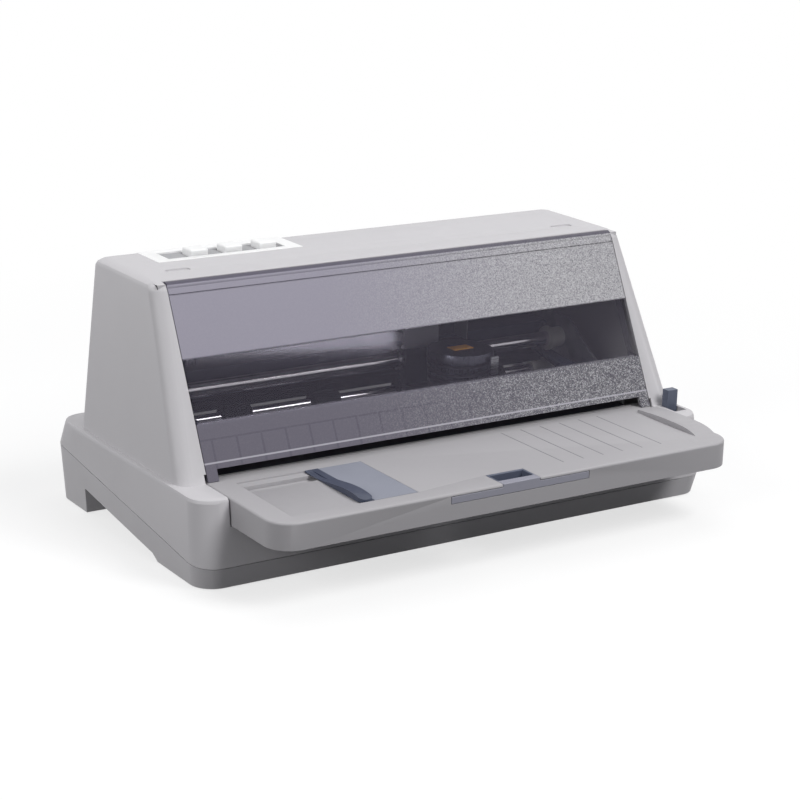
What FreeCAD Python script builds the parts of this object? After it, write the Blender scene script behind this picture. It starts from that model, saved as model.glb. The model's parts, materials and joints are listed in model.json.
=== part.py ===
import FreeCAD, Part
import math
import os

# A flatbed dot matrix printer with its front paper tray, in millimetres.
# X runs across the machine, -Y is the side where paper goes in, and +Z is up.
# The origin is on the table, under the middle of the whole machine.

# Case
CASE_WIDTH = 384.0
CASE_DEPTH = 206.8
CASE_HEIGHT = 166.0
DECK_HEIGHT = 55.1
SHELL_WALL = 2.5
FOOT_PROUD = 0.8
SEAM_FRONT_HEIGHT = 13.5
SEAM_REAR_HEIGHT = 38.6
SEAM_GAP = 0.5
LIP_HEIGHT = 3.0
FLOOR_DRAFT = 2.3
DECK_SIDE_DRAFT = 1.4
DECK_END_DRAFT = 5.1
CASE_CORNER_RADIUS = 15.0
DECK_EDGE_RADIUS = 2.5
ARCH_FOOT_DEPTH = 59.4
ARCH_STEP_RUN = 6.0
ARCH_STEP_RISE = 3.9
ARCH_CLEARANCE = 0.5
REAR_FOOT_DEPTH = 46.4
ARCH_REAR_RUN = 3.0

# Tower above the deck, with the leaning front that the cover closes
TOWER_LEDGE = 4.4
TOWER_SIDE_DRAFT = 10.2
TOWER_SETBACK = 33.95
TOWER_REAR_LEDGE = 34.35
TOWER_REAR_DRAFT = 1.0
COVER_LEAN_DEGREES = 26.0
TOWER_FRONT_RADIUS = 9.0
TOWER_REAR_RADIUS = 5.0
TOWER_TOP_SIDE_ROUND = 8.0
TOWER_TOP_ROUND = 4.5
TOP_SLOPE_RUN = 21.0
TOP_SLOPE_DROP = 0.7
DENT_INSET = 30.4
DENT_SETBACK = 81.0
DENT_LENGTH = 17.0
DENT_WIDTH = 6.4
DENT_DEPTH = 0.9
REAR_SLOT_INSET = 4.0
REAR_SLOT_HEIGHT = 15.0

# Clearances and the overrun of every cut
MOVE_GAP = 0.3
RUNNING_GAP = 0.05
OVERRUN = 5.0

# Front cover
COVER_PILLAR = 9.0
COVER_SIDE_GAP = 0.5
COVER_WALL = 2.4
COVER_BARREL_RADIUS = 3.6
COVER_PIN_RADIUS = 2.2
COVER_PIN_LENGTH = 4.0
COVER_EDGE_GAP = 0.5
COVER_FLANGE_DEPTH = 9.0
COVER_FLANGE_WALL = 2.0
COVER_LEG_WIDTH = 7.4
COVER_GROOVE_DROP = 7.2
COVER_GROOVE_WIDTH = 0.9
COVER_GROOVE_DEPTH = 0.7
PAPER_MOUTH_HEIGHT = 6.9
COVER_RIB_PITCH = 16.9
COVER_RIB_WALL = 1.2
COVER_RIB_DEPTH = 5.0
COVER_RIB_TOP = 23.4
HINGE_EAR_DEPTH = 9.0
HINGE_EAR_DROP = 9.0
HINGE_EAR_WALL = 5.2

# Front tray, its guides and the pull-out support
TRAY_SIDE_LEDGE = 22.65
TRAY_OVERHANG = 50.9
TRAY_DEPTH = 92.3
TRAY_THICKNESS = 16.9
TRAY_WALL = 1.8
TRAY_CORNER_RADIUS = 16.5
TRAY_EDGE_RADIUS = 1.6
TRAY_GAP = 1.0
TRAY_RIB_PITCH = 60.0
TRAY_RIB_WALL = 1.5
POCKET_SIDE_INSET = 15.75
POCKET_FRONT_GAP = 12.4
POCKET_REAR_GAP = 14.0
POCKET_DEPTH = 1.2
GROOVE_WIDTH = 9.7
GROOVE_SETBACK = 19.9
GROOVE_DEPTH = 4.0
GUIDE_PLATE_WIDTH = 35.0
GUIDE_RIDGE_WIDTH = 9.0
GUIDE_RIDGE_HEIGHT = 2.9
GUIDE_RIDGE_REAR_HEIGHT = 0.2
GUIDE_RIDGE_NOSE_HEIGHT = 1.2
GUIDE_RIDGE_ROUND = 4.0
GUIDE_CREST_RUN = 8.0
GUIDE_FOOT_WIDTH = 20.0
GUIDE_TRAVEL = 47.0
FENCE_INSET = 17.35
FENCE_HEIGHT = 3.3
FENCE_REAR_HEIGHT = 2.0
FENCE_DEPTH = 60.0
FENCE_SLOPE_RUN = 9.0
NOTCH_WIDTH = 28.0
NOTCH_DEPTH = 19.0
SUPPORT_SIDE_GAP = 15.3
SUPPORT_THICKNESS = 4.4
SUPPORT_HOLD = 23.0
SUPPORT_TAB_DEPTH = 6.5
SUPPORT_TRAVEL = 55.0
FINGER_HOLE_WIDTH = 25.0
FINGER_HOLE_DEPTH = 10.5
RAIL_HEIGHT = 3.0
RAIL_WALL = 2.0

# Release lever at the right of the deck
LEVER_INSET = 11.0
LEVER_WIDTH = 8.5
LEVER_DEPTH = 6.0
LEVER_PROUD = 12.0
LEVER_PIVOT_DROP = 17.0
LEVER_HUB_RADIUS = 4.5
LEVER_PIN_RADIUS = 2.0
LEVER_SLOT_WIDTH = 10.0
LEVER_SLOT_DEPTH = 15.5
LEVER_SLOT_SETBACK = 17.0
LEVER_LUG_WALL = 2.0

# Control panel in the tower's top
PANEL_WIDTH = 104.0
PANEL_DEPTH = 31.0
PANEL_SIDE_INSET = 80.4
PANEL_REAR_GAP = 3.5
PANEL_FRAME_SIDE = 10.0
PANEL_FRAME_FRONT = 5.5
PANEL_FRAME_REAR = 7.0
PANEL_FRAME_WALL = 1.2
PANEL_FRAME_PROUD = 0.4
PANEL_PLATE_DROP = 0.8
PANEL_PLATE_WALL = 1.4
BUTTON_WIDTH = 13.0
BUTTON_DEPTH = 12.0
BUTTON_PITCH = 24.8
BUTTON_SHIFT = 6.0
BUTTON_PROUD = 3.6
BUTTON_ROUND = 1.2
BUTTON_TRAVEL = 1.2
BUTTON_STEM_RADIUS = 2.2
BUTTON_COUNT = 3
PANEL_BOARD_DROP = 10.0
BOARD_WALL = 1.6
TACT_SIZE = 6.0
TACT_HEIGHT = 4.0
POST_RADIUS = 3.0

# Frames and paper path
FRAME_SIDE_GAP = 20.4
FRAME_WALL = 2.0
SHEET_WALL = 1.2
PAN_CLEARANCE = 10.1
PAN_FRONT_SETBACK = 16.0
PAN_REAR_GAP = 4.0
PAN_FLANGE_HEIGHT = 8.0
BEAM_DEPTH = 8.0
FRAME_CREST = 15.3
FRAME_FRONT_RISE = 6.9
FRAME_TOP_SETBACK = 64.0
PATH_DROP = 0.6
PRINT_LINE_SETBACK = 55.0
FEED_SPACING = 38.4
PLATEN_RADIUS = 12.5
PLATEN_END_GAP = 4.0
PLATEN_SHAFT_RADIUS = 4.5
PLATEN_SLOT_HALF = 7.4
FEED_ROLLER_RADIUS = 9.0
FEED_SHAFT_RADIUS = 3.5
FEED_ROLLER_WIDTH = 19.5
FEED_ROLLER_INSET = 56.95
FEED_ROLLER_COUNT = 4
ROLLER_WINDOW_GAP = 1.2
ROLLER_WINDOW_HALF = 6.6
PINCH_RADIUS = 7.0
PINCH_SHAFT_RADIUS = 3.5
NIP_GAP = 0.3
PINCH_ARM_WALL = 4.0
PINCH_ARM_RISE = 9.0
PINCH_ARM_REACH = 11.0
PINCH_BEARING_LENGTH = 22.0
BUSH_WALL = 1.8
BUSH_FLANGE = 0.8
BUSH_FLANGE_WALL = 1.2

# Gear train outside the left frame
GEAR_MODULE = 1.0
GEAR_WIDTH = 6.0
GEAR_SIDE_GAP = 2.6
ROLLER_GEAR_TEETH = 28
IDLER_GEAR_TEETH = 16
PINION_TEETH = 12
PRESSURE_ANGLE_DEGREES = 20.0
GEAR_BACKLASH = 0.16
GEAR_ADDENDUM_SHARE = 0.95
GEAR_DEDENDUM_SHARE = 1.25
IDLER_STUD_RADIUS = 3.0
STUD_HEAD = 1.5
PINION_SHAFT_RADIUS = 2.5
PINION_DIRECTION_DEGREES = -26.0
MOTOR_RADIUS = 13.5
MOTOR_LENGTH = 28.0
MOTOR_FLANGE_WALL = 1.5
MOTOR_EAR_REACH = 5.0
MOTOR_BORE_DEPTH = 10.0

# Carriage drive
ROD_RADIUS = 5.0
ROD_SETFORWARD = 4.0
ROD_ARM_GAP = 0.2
ROD_END = 3.0
ROD_BUSH_LENGTH = 12.5
ROD_BUSH_WALL = 1.8
ROD_BUSH_FLANGE = 1.7
ROD_BUSH_FLANGE_WALL = 2.5
CLIP_WALL = 1.2
CLIP_REACH = 3.0
HEAD_REST_X = 48.5
BELT_INSET = 15.0
BELT_WIDTH = 6.0
BELT_WALL = 1.2
PULLEY_RADIUS = 7.0
PULLEY_FLANGE = 1.8
PULLEY_FLANGE_WALL = 1.0
DRIVE_PULLEY_OFFSET = 15.0
CARRIAGE_MOTOR_RADIUS = 12.0
IDLER_PULLEY_INSET = 13.0
IDLER_PIN_RADIUS = 2.5
BRACKET_WALL = 1.5
BELT_WINDOW_GAP = 3.0

# Carriage and print head
CARRIAGE_HALF_WIDTH = 26.0
SLEEVE_HALF = 9.0
PLATFORM_WALL = 3.5
PLATFORM_RISE = 10.9
RAIL_RISE = 4.9
RAIL_SETBACK = 22.0
RAIL_DEPTH = 9.0
RAIL_LIP = 6.0
CLAMP_HALF_WIDTH = 12.0
CLAMP_WALL = 3.0
TONGUE_WALL = 3.0
TONGUE_GAP = 2.3
SINK_RADIUS = 22.5
SINK_CORE_RADIUS = 16.5
SINK_LIFT = 4.0
SINK_HEIGHT = 28.0
SINK_FIN_COUNT = 5
SINK_FIN_SHARE = 0.5
SINK_STEP = 0.9
HEAD_NECK_RADIUS = 13.0
NOSE_HALF_WIDTH = 7.0
NOSE_HALF_DEPTH = 5.0
NOSE_TOP_HALF_WIDTH = 11.0
NOSE_TOP_HALF_DEPTH = 9.0
NOSE_LIFT = 1.9
TAPE_WIDTH = 15.0
TAPE_DEPTH = 9.0
TAPE_WALL = 0.4
HEAD_CLIP_WIDTH = 6.0
HEAD_CLIP_WALL = 1.6
HEAD_BOARD_WIDTH = 27.0
HEAD_BOARD_HEIGHT = 14.3
HEAD_BOARD_FOOT_DEPTH = 4.0
CABLE_WIDTH = 15.0
CABLE_WALL = 0.5
CABLE_LEG_SPACING = 40.0
CABLE_RISE = 43.3
CABLE_LID_GAP = 1.0
CABLE_POST_DROP = 10.0

# Ribbon cartridge
CARTRIDGE_END_GAP = 5.0
CARTRIDGE_LIFT = 6.0
CARTRIDGE_HEIGHT = 19.0
CARTRIDGE_FRONT_GAP = 2.6
CARTRIDGE_DEPTH = 31.0
CARTRIDGE_WALL = 1.6
CARTRIDGE_LID_WALL = 1.5
CARTRIDGE_LID_LAP = 1.0
ARM_WIDTH = 10.5
ARM_TIP_GAP = 8.0
ARM_TIP_LIFT = 3.9
ARM_TOP_DROP = 3.0
ARM_NECK_DROP = 7.0
RIBBON_WIDTH = 13.0
RIBBON_WALL = 0.3
RIBBON_LIFT = 1.1
RIBBON_CLIMB = 5.8
RIBBON_CLIMB_RUN = 13.5
KNOB_RADIUS = 7.0
KNOB_HEIGHT = 6.0
KNOB_SHAFT_RADIUS = 2.0
KNOB_INSET = 28.0
KNOB_GRIPS = 12
KNOB_GRIP_RADIUS = 1.0

# Electronics and sockets at the back
BOARD_HEIGHT = 12.0
BOARD_DEPTH = 34.0
BOARD_REAR_GAP = 2.0
BOARD_SIDE_INSET = 42.0
BOARD_SPACING = 16.0
SUPPLY_WIDTH = 94.0
CHIP_SIZE = 18.0
CHIP_HEIGHT = 2.5
CHIP_PITCH = 34.0
CAPACITOR_RADIUS = 6.0
CAPACITOR_HEIGHT = 20.0
TRANSFORMER_WIDTH = 28.0
TRANSFORMER_DEPTH = 19.0
TRANSFORMER_HEIGHT = 24.0
SINK_PLATE_WALL = 2.0
SINK_PLATE_HEIGHT = 26.0
SOCKET_DEPTH = 14.0
SOCKET_RIM = 1.5
PARALLEL_INSET = 58.0
PARALLEL_WIDTH = 72.0
PARALLEL_HEIGHT = 15.0
USB_SHIFT = 4.0
USB_WIDTH = 12.0
USB_HEIGHT = 11.0
USB_MOUTH_DEPTH = 6.6
SOCKET_BOTTOM = 14.6
INLET_INSET = 22.0
INLET_WIDTH = 27.0
INLET_HEIGHT = 20.0
INLET_PIN_RADIUS = 1.2
INLET_PIN_SPREAD = 7.0
SWITCH_SPACING = 30.0
SWITCH_WIDTH = 15.0
SWITCH_HEIGHT = 21.0
ROCKER_TILT_DEGREES = 7.0
ROCKER_PIN_RADIUS = 1.5
ROCKER_HEIGHT = 4.0
SOCKET_INSET = 1.6

# Fasteners and feet
FOOT_RADIUS = 8.0
FOOT_INSET_X = 22.0
FOOT_INSET_Y = 17.0
FOOT_SINK = 1.2
SCREW_RADIUS = 1.5
SCREW_HEAD_RADIUS = 3.0
SCREW_HEAD_HEIGHT = 1.8
SCREW_LENGTH = 12.0
BOSS_RADIUS = 4.0

# Places that follow from the sizes above
HALF_WIDTH = CASE_WIDTH / 2
TOWER_WIDTH = CASE_WIDTH - 2 * TOWER_LEDGE
TOWER_TOP_WIDTH = TOWER_WIDTH - 2 * TOWER_SIDE_DRAFT
TOWER_DEPTH = CASE_DEPTH - TOWER_SETBACK - TOWER_REAR_LEDGE
FRONT_Y = (TRAY_OVERHANG - CASE_DEPTH) / 2
REAR_Y = FRONT_Y + CASE_DEPTH
TOWER_FRONT_Y = FRONT_Y + TOWER_SETBACK
TOWER_REAR_Y = TOWER_FRONT_Y + TOWER_DEPTH
DENT_X = TOWER_TOP_WIDTH / 2 - DENT_INSET
LEVER_X = HALF_WIDTH - LEVER_INSET
PANEL_CENTRE_X = PANEL_SIDE_INSET - TOWER_TOP_WIDTH / 2

# Places of the tray, its guide and its support
TRAY_WIDTH = CASE_WIDTH - 2 * TRAY_SIDE_LEDGE
TRAY_HALF = TRAY_WIDTH / 2
TRAY_FRONT_Y = FRONT_Y - TRAY_OVERHANG
TRAY_REAR_Y = TRAY_FRONT_Y + TRAY_DEPTH
TRAY_BOTTOM = DECK_HEIGHT - TRAY_THICKNESS
FENCE_INNER = TRAY_HALF - FENCE_INSET
POCKET_LEFT = TRAY_HALF - POCKET_SIDE_INSET
GUIDE_RIDGE_X = GUIDE_TRAVEL + GUIDE_RIDGE_WIDTH / 2 + MOVE_GAP - POCKET_LEFT
POCKET_RIGHT = -GUIDE_RIDGE_X - GUIDE_PLATE_WIDTH - MOVE_GAP
SUPPORT_WIDTH = 2 * (POCKET_RIGHT - SUPPORT_SIDE_GAP)
SUPPORT_DEPTH = SUPPORT_TRAVEL + SUPPORT_HOLD

# Places of the cover and its hinge
COVER_LEAN = math.radians(COVER_LEAN_DEGREES)
COVER_WIDTH = TOWER_TOP_WIDTH - 2 * COVER_PILLAR
COVER_HALF = COVER_WIDTH / 2
COVER_RIB_COUNT = 2 * int((COVER_HALF - COVER_LEG_WIDTH) / COVER_RIB_PITCH)
HINGE_Z = CASE_HEIGHT - COVER_BARREL_RADIUS
HINGE_Y = (TOWER_FRONT_Y + (HINGE_Z - DECK_HEIGHT) * math.tan(COVER_LEAN)
           + COVER_BARREL_RADIUS / math.cos(COVER_LEAN))
OPENING_REAR_Y = HINGE_Y + COVER_BARREL_RADIUS + COVER_EDGE_GAP

# Places of the frames and the paper path
FRAME_INNER = TOWER_TOP_WIDTH / 2 - FRAME_SIDE_GAP
FRAME_OUTER = FRAME_INNER + FRAME_WALL
REAR_SLOT_HALF_WIDTH = FRAME_INNER - REAR_SLOT_INSET
PATH_TOP = DECK_HEIGHT - PATH_DROP
PRINT_Y = TOWER_FRONT_Y + PRINT_LINE_SETBACK
PLATEN_Z = DECK_HEIGHT - PLATEN_RADIUS
PLATEN_LENGTH = 2 * (FRAME_INNER - PLATEN_END_GAP)
FEED_Y = PRINT_Y + FEED_SPACING
FEED_Z = DECK_HEIGHT - FEED_ROLLER_RADIUS
FEED_ROLLER_PITCH = 2 * (FRAME_INNER - FEED_ROLLER_INSET) / (FEED_ROLLER_COUNT - 1)
PINCH_Z = DECK_HEIGHT + NIP_GAP + PINCH_RADIUS
PAN_HEIGHT = PLATEN_Z - PLATEN_RADIUS - PAN_CLEARANCE
PAN_TOP = PAN_HEIGHT + SHEET_WALL
PAN_FRONT_Y = TOWER_FRONT_Y + PAN_FRONT_SETBACK
PAN_REAR_Y = TOWER_REAR_Y - PAN_REAR_GAP
ARCH_RISE = PAN_HEIGHT - ARCH_CLEARANCE - SHELL_WALL - FOOT_PROUD
ARCH_RUN = CASE_DEPTH - ARCH_FOOT_DEPTH - ARCH_STEP_RUN - ARCH_REAR_RUN - REAR_FOOT_DEPTH
FLOOR_TOP = FOOT_PROUD + SHELL_WALL
GEAR_X = -FRAME_OUTER - GEAR_SIDE_GAP
GEAR_END_X = GEAR_X - GEAR_WIDTH

# Places of the carriage, its drive and the head
ROD_Y = FEED_Y - ROD_SETFORWARD
CARTRIDGE_BOTTOM = PINCH_Z + PINCH_RADIUS + TONGUE_GAP + TONGUE_WALL + MOVE_GAP
ROD_HEIGHT = (CARTRIDGE_BOTTOM + CARTRIDGE_LID_LAP + ROD_ARM_GAP + ROD_RADIUS
              + ROD_BUSH_WALL + ROD_BUSH_FLANGE)
FRAME_HEIGHT = ROD_HEIGHT + FRAME_CREST
FRAME_LOW_FRONT_HEIGHT = DECK_HEIGHT + FRAME_FRONT_RISE
CARTRIDGE_FRONT_Y = ROD_Y + SLEEVE_HALF + CARTRIDGE_FRONT_GAP
BELT_Y = CARTRIDGE_FRONT_Y + BELT_INSET
BELT_MID = PULLEY_RADIUS + MOVE_GAP
BELT_BOTTOM = CARTRIDGE_BOTTOM - CARTRIDGE_LIFT - BELT_WIDTH
DRIVE_PULLEY_X = FRAME_INNER + DRIVE_PULLEY_OFFSET
IDLER_PULLEY_X = IDLER_PULLEY_INSET - FRAME_INNER
RAIL_FRONT_Y = PRINT_Y - RAIL_SETBACK - RAIL_DEPTH
RAIL_TOP_HEIGHT = DECK_HEIGHT + RAIL_RISE
PLATFORM_HEIGHT = DECK_HEIGHT + PLATFORM_RISE
SINK_BASE_HEIGHT = PLATFORM_HEIGHT + SINK_LIFT
SINK_TOP_HEIGHT = SINK_BASE_HEIGHT + SINK_HEIGHT
NOSE_HEIGHT = DECK_HEIGHT + NOSE_LIFT
HEAD_BOARD_TOP = ROD_HEIGHT + SLEEVE_HALF + HEAD_BOARD_HEIGHT
CABLE_TOP = ROD_HEIGHT + CABLE_RISE
CABLE_POST_HEIGHT = CABLE_TOP - CABLE_POST_DROP

# Places of the ribbon cartridge
CARTRIDGE_HALF_WIDTH = FRAME_INNER - CARTRIDGE_END_GAP
CARTRIDGE_REAR_Y = CARTRIDGE_FRONT_Y + CARTRIDGE_DEPTH
CARTRIDGE_TOP = CARTRIDGE_BOTTOM + CARTRIDGE_HEIGHT
ARM_INNER = CARTRIDGE_HALF_WIDTH - ARM_WIDTH
ARM_TIP_HEIGHT = DECK_HEIGHT + ARM_TIP_LIFT
ARM_TOP_HEIGHT = CARTRIDGE_BOTTOM - ARM_TOP_DROP
ARM_NECK_BOTTOM = CARTRIDGE_BOTTOM - ARM_NECK_DROP
RIBBON_HEIGHT = DECK_HEIGHT + RIBBON_LIFT
RIBBON_FLAT_HALF = ARM_INNER - RIBBON_CLIMB_RUN

# Places of the boards and sockets
BOARD_REAR_Y = REAR_Y - FLOOR_DRAFT - SHELL_WALL - BOARD_REAR_GAP
BOARD_FRONT_Y = BOARD_REAR_Y - BOARD_DEPTH
SUPPLY_RIGHT = HALF_WIDTH - BOARD_SIDE_INSET
SUPPLY_LEFT = SUPPLY_RIGHT - SUPPLY_WIDTH
MAIN_BOARD_LEFT = BOARD_SIDE_INSET - HALF_WIDTH
MAIN_BOARD_RIGHT = SUPPLY_LEFT - BOARD_SPACING
PARALLEL_X = MAIN_BOARD_LEFT + PARALLEL_INSET
USB_X = (PARALLEL_X + PARALLEL_WIDTH / 2 + MAIN_BOARD_RIGHT) / 2 - USB_SHIFT
INLET_X = SUPPLY_RIGHT - INLET_INSET
SWITCH_X = INLET_X - SWITCH_SPACING


# Helpers for plain solids

def box(x0, x1, y0, y1, z0, z1):
    low = FreeCAD.Vector(min(x0, x1), min(y0, y1), min(z0, z1))
    return Part.makeBox(abs(x1 - x0), abs(y1 - y0), abs(z1 - z0), low)


def bar_x(x0, x1, y, z, radius):
    start = FreeCAD.Vector(min(x0, x1), y, z)
    return Part.makeCylinder(radius, abs(x1 - x0), start, FreeCAD.Vector(1, 0, 0))


def bar_y(x, y0, y1, z, radius):
    start = FreeCAD.Vector(x, min(y0, y1), z)
    return Part.makeCylinder(radius, abs(y1 - y0), start, FreeCAD.Vector(0, 1, 0))


def bar_z(x, y, z0, z1, radius):
    start = FreeCAD.Vector(x, y, min(z0, z1))
    return Part.makeCylinder(radius, abs(z1 - z0), start, FreeCAD.Vector(0, 0, 1))


def slab_x(outline, x0, x1):
    """Extrude a closed outline of (y, z) points from x0 to x1."""
    points = [FreeCAD.Vector(x0, y, z) for y, z in outline + outline[:1]]
    return Part.Face(Part.makePolygon(points)).extrude(FreeCAD.Vector(x1 - x0, 0, 0))


def slab_y(outline, y0, y1):
    """Extrude a closed outline of (x, z) points from y0 to y1."""
    points = [FreeCAD.Vector(x, y0, z) for x, z in outline + outline[:1]]
    return Part.Face(Part.makePolygon(points)).extrude(FreeCAD.Vector(0, y1 - y0, 0))


def crest_slab(crest, bottom, x0, x1):
    """Bar from x0 to x1 with a flat bottom and a smooth top through (y, z) points."""
    line = Part.BSplineCurve()
    line.interpolate([FreeCAD.Vector(x0, y, z) for y, z in crest])
    sides = [crest[-1], (crest[-1][0], bottom), (crest[0][0], bottom), crest[0]]
    wall = Part.makePolygon([FreeCAD.Vector(x0, y, z) for y, z in sides])
    face = Part.Face(Part.Wire([line.toShape()] + wall.Edges))
    return face.extrude(FreeCAD.Vector(x1 - x0, 0, 0))


def join(*shapes):
    whole = shapes[0].fuse(list(shapes[1:]))
    return whole.removeSplitter()


def soften(shape, radius, wanted):
    """Fillet the edges whose middle point the test picks."""
    edges = [edge for edge in shape.Edges if wanted(edge.CenterOfMass, edge)]
    return shape.makeFillet(radius, edges) if edges else shape


# Case forms

def ring(half_width, y_front, y_rear, front_radius, rear_radius, height):
    """Rounded rectangle whose height is a function of y, so it may lie on a slanted plane."""
    corners = [
        (-half_width, y_front, 1, 1, front_radius), (half_width, y_front, -1, 1, front_radius),
        (half_width, y_rear, -1, -1, rear_radius), (-half_width, y_rear, 1, -1, rear_radius),
    ]
    bend = 1 - math.sqrt(0.5)
    stops = []
    for index, (x, y, inward_x, inward_y, radius) in enumerate(corners):
        on_x = (x + inward_x * radius, y)
        on_y = (x, y + inward_y * radius)
        middle = (x + inward_x * radius * bend, y + inward_y * radius * bend)
        first, last = (on_y, on_x) if index % 2 == 0 else (on_x, on_y)
        stops.append([FreeCAD.Vector(px, py, height(py)) for px, py in (first, middle, last)])
    edges = []
    for index, (first, middle, last) in enumerate(stops):
        edges.append(Part.Arc(first, middle, last).toShape())
        edges.append(Part.LineSegment(last, stops[(index + 1) % len(stops)][0]).toShape())
    return Part.Wire(edges)


def seam_height(y):
    slope = (SEAM_REAR_HEIGHT - SEAM_FRONT_HEIGHT) / CASE_DEPTH
    return SEAM_FRONT_HEIGHT + (y - FRONT_Y) * slope


def case_ring(inset, height, side_draft=0, end_draft=0):
    return ring(HALF_WIDTH - inset - side_draft, FRONT_Y + inset + end_draft, REAR_Y - inset - end_draft,
                CASE_CORNER_RADIUS - inset, CASE_CORNER_RADIUS - inset, height)


def lower_form(inset, bottom, rise):
    """Tub below the seam: it widens from the floor to the seam, then stands straight for rise."""
    rings = [case_ring(inset, lambda y: bottom, FLOOR_DRAFT, FLOOR_DRAFT),
             case_ring(inset, seam_height)]
    if rise:
        rings.append(case_ring(inset, lambda y: seam_height(y) + rise))
    return Part.makeLoft(rings, True, True)


def skirt_form(inset, drop, start):
    """Skirt from the seam up to the deck, with a soft top edge."""
    radius = DECK_EDGE_RADIUS
    rings = [case_ring(inset, lambda y: seam_height(y) + start)]
    for share in (0, 1 / 2, 1):
        angle = share * math.pi / 2
        shrink = radius * (1 - math.cos(angle))
        top = DECK_HEIGHT - drop - radius * (1 - math.sin(angle))
        rings.append(case_ring(inset + shrink, lambda y, top=top: top,
                               DECK_SIDE_DRAFT, DECK_END_DRAFT))
    return Part.makeLoft(rings, True, True)


def tower_ring(inset, z, side_shrink, end_shrink):
    share = (z - DECK_HEIGHT) / (CASE_HEIGHT - DECK_HEIGHT)
    half_width = (TOWER_WIDTH + (TOWER_TOP_WIDTH - TOWER_WIDTH) * share) / 2 - inset - side_shrink
    front = cover_plane(z) + inset / math.cos(COVER_LEAN) + end_shrink
    rear = TOWER_REAR_Y - TOWER_REAR_DRAFT * share - inset - end_shrink
    return ring(half_width, front, rear, TOWER_FRONT_RADIUS - inset, TOWER_REAR_RADIUS - inset,
                lambda y: z)


def cover_plane(z):
    """Front face of the tower and cover at height z."""
    return TOWER_FRONT_Y + (z - DECK_HEIGHT) * math.tan(COVER_LEAN)


def tower_form(inset, bottom):
    top = CASE_HEIGHT - inset
    rings = [tower_ring(inset, bottom, 0, 0)]
    for share in (0, 1 / 3, 2 / 3, 1):
        angle = share * math.pi / 2
        lean = 1 - math.cos(angle)
        z = top - TOWER_TOP_ROUND * (1 - math.sin(angle))
        rings.append(tower_ring(inset, z, TOWER_TOP_SIDE_ROUND * lean, TOWER_TOP_ROUND * lean))
    return Part.makeLoft(rings, True, True)


def arch_form(offset):
    """Space under the case between the front foot and the rear foot."""
    front = FRONT_Y + ARCH_FOOT_DEPTH
    step = front + ARCH_STEP_RUN
    crest = step + ARCH_RUN
    rear = crest + ARCH_REAR_RUN
    low = -OVERRUN
    outline = [(front, low), (front, FOOT_PROUD), (step, FOOT_PROUD + ARCH_STEP_RISE),
               (crest, FOOT_PROUD + ARCH_RISE), (rear, FOOT_PROUD + ARCH_RISE), (rear, low)]
    points = [FreeCAD.Vector(-HALF_WIDTH - OVERRUN, y, z) for y, z in outline + outline[:1]]
    wire = Part.makePolygon(points)
    if offset:
        wire = wire.makeOffset2D(offset, 2)
    return Part.Face(wire).extrude(FreeCAD.Vector(CASE_WIDTH + 2 * OVERRUN, 0, 0))


def recess_form(offset):
    """Pocket in the front of the deck that takes the tray."""
    half = TRAY_HALF + TRAY_GAP + offset
    return box(-half, half, FRONT_Y - OVERRUN, TRAY_REAR_Y + TRAY_GAP + offset,
               TRAY_BOTTOM - MOVE_GAP - offset, DECK_HEIGHT + OVERRUN)


def foot_places():
    x = HALF_WIDTH - FLOOR_DRAFT - FOOT_INSET_X
    return [(side * x, y) for side in (-1, 1)
            for y in (FRONT_Y + FLOOR_DRAFT + FOOT_INSET_Y, REAR_Y - FLOOR_DRAFT - FOOT_INSET_Y)]


def screw_places():
    x = HALF_WIDTH - FLOOR_DRAFT - SHELL_WALL - BOSS_RADIUS
    front = lever_slot_rear() + SHELL_WALL + BOSS_RADIUS
    rear = REAR_Y - FLOOR_DRAFT - CASE_CORNER_RADIUS - BOSS_RADIUS
    return [(side * x, y) for side in (-1, 1) for y in (front, rear)]


def pan_posts():
    x = FRAME_INNER - BOSS_RADIUS - SHELL_WALL
    return [(side * x, y) for side in (-1, 1) for y in (PAN_FRONT_Y + BOSS_RADIUS * 2,
                                                        PAN_REAR_Y - BOSS_RADIUS * 2)]


def board_posts(left, right):
    gap = POST_RADIUS + SHELL_WALL
    return [(x, y) for x in (left + gap, right - gap) for y in (BOARD_FRONT_Y + gap, BOARD_REAR_Y - gap)]


def all_board_posts():
    return board_posts(MAIN_BOARD_LEFT, MAIN_BOARD_RIGHT) + board_posts(SUPPLY_LEFT, SUPPLY_RIGHT)


def socket_holes():
    holes = []
    for x, width, height in ((PARALLEL_X, PARALLEL_WIDTH, PARALLEL_HEIGHT), (USB_X, USB_WIDTH, USB_HEIGHT),
                             (INLET_X, INLET_WIDTH, INLET_HEIGHT), (SWITCH_X, SWITCH_WIDTH, SWITCH_HEIGHT)):
        holes.append(box(x - width / 2, x + width / 2, BOARD_REAR_Y, REAR_Y + OVERRUN,
                         SOCKET_BOTTOM, SOCKET_BOTTOM + height))
    return holes


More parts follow.
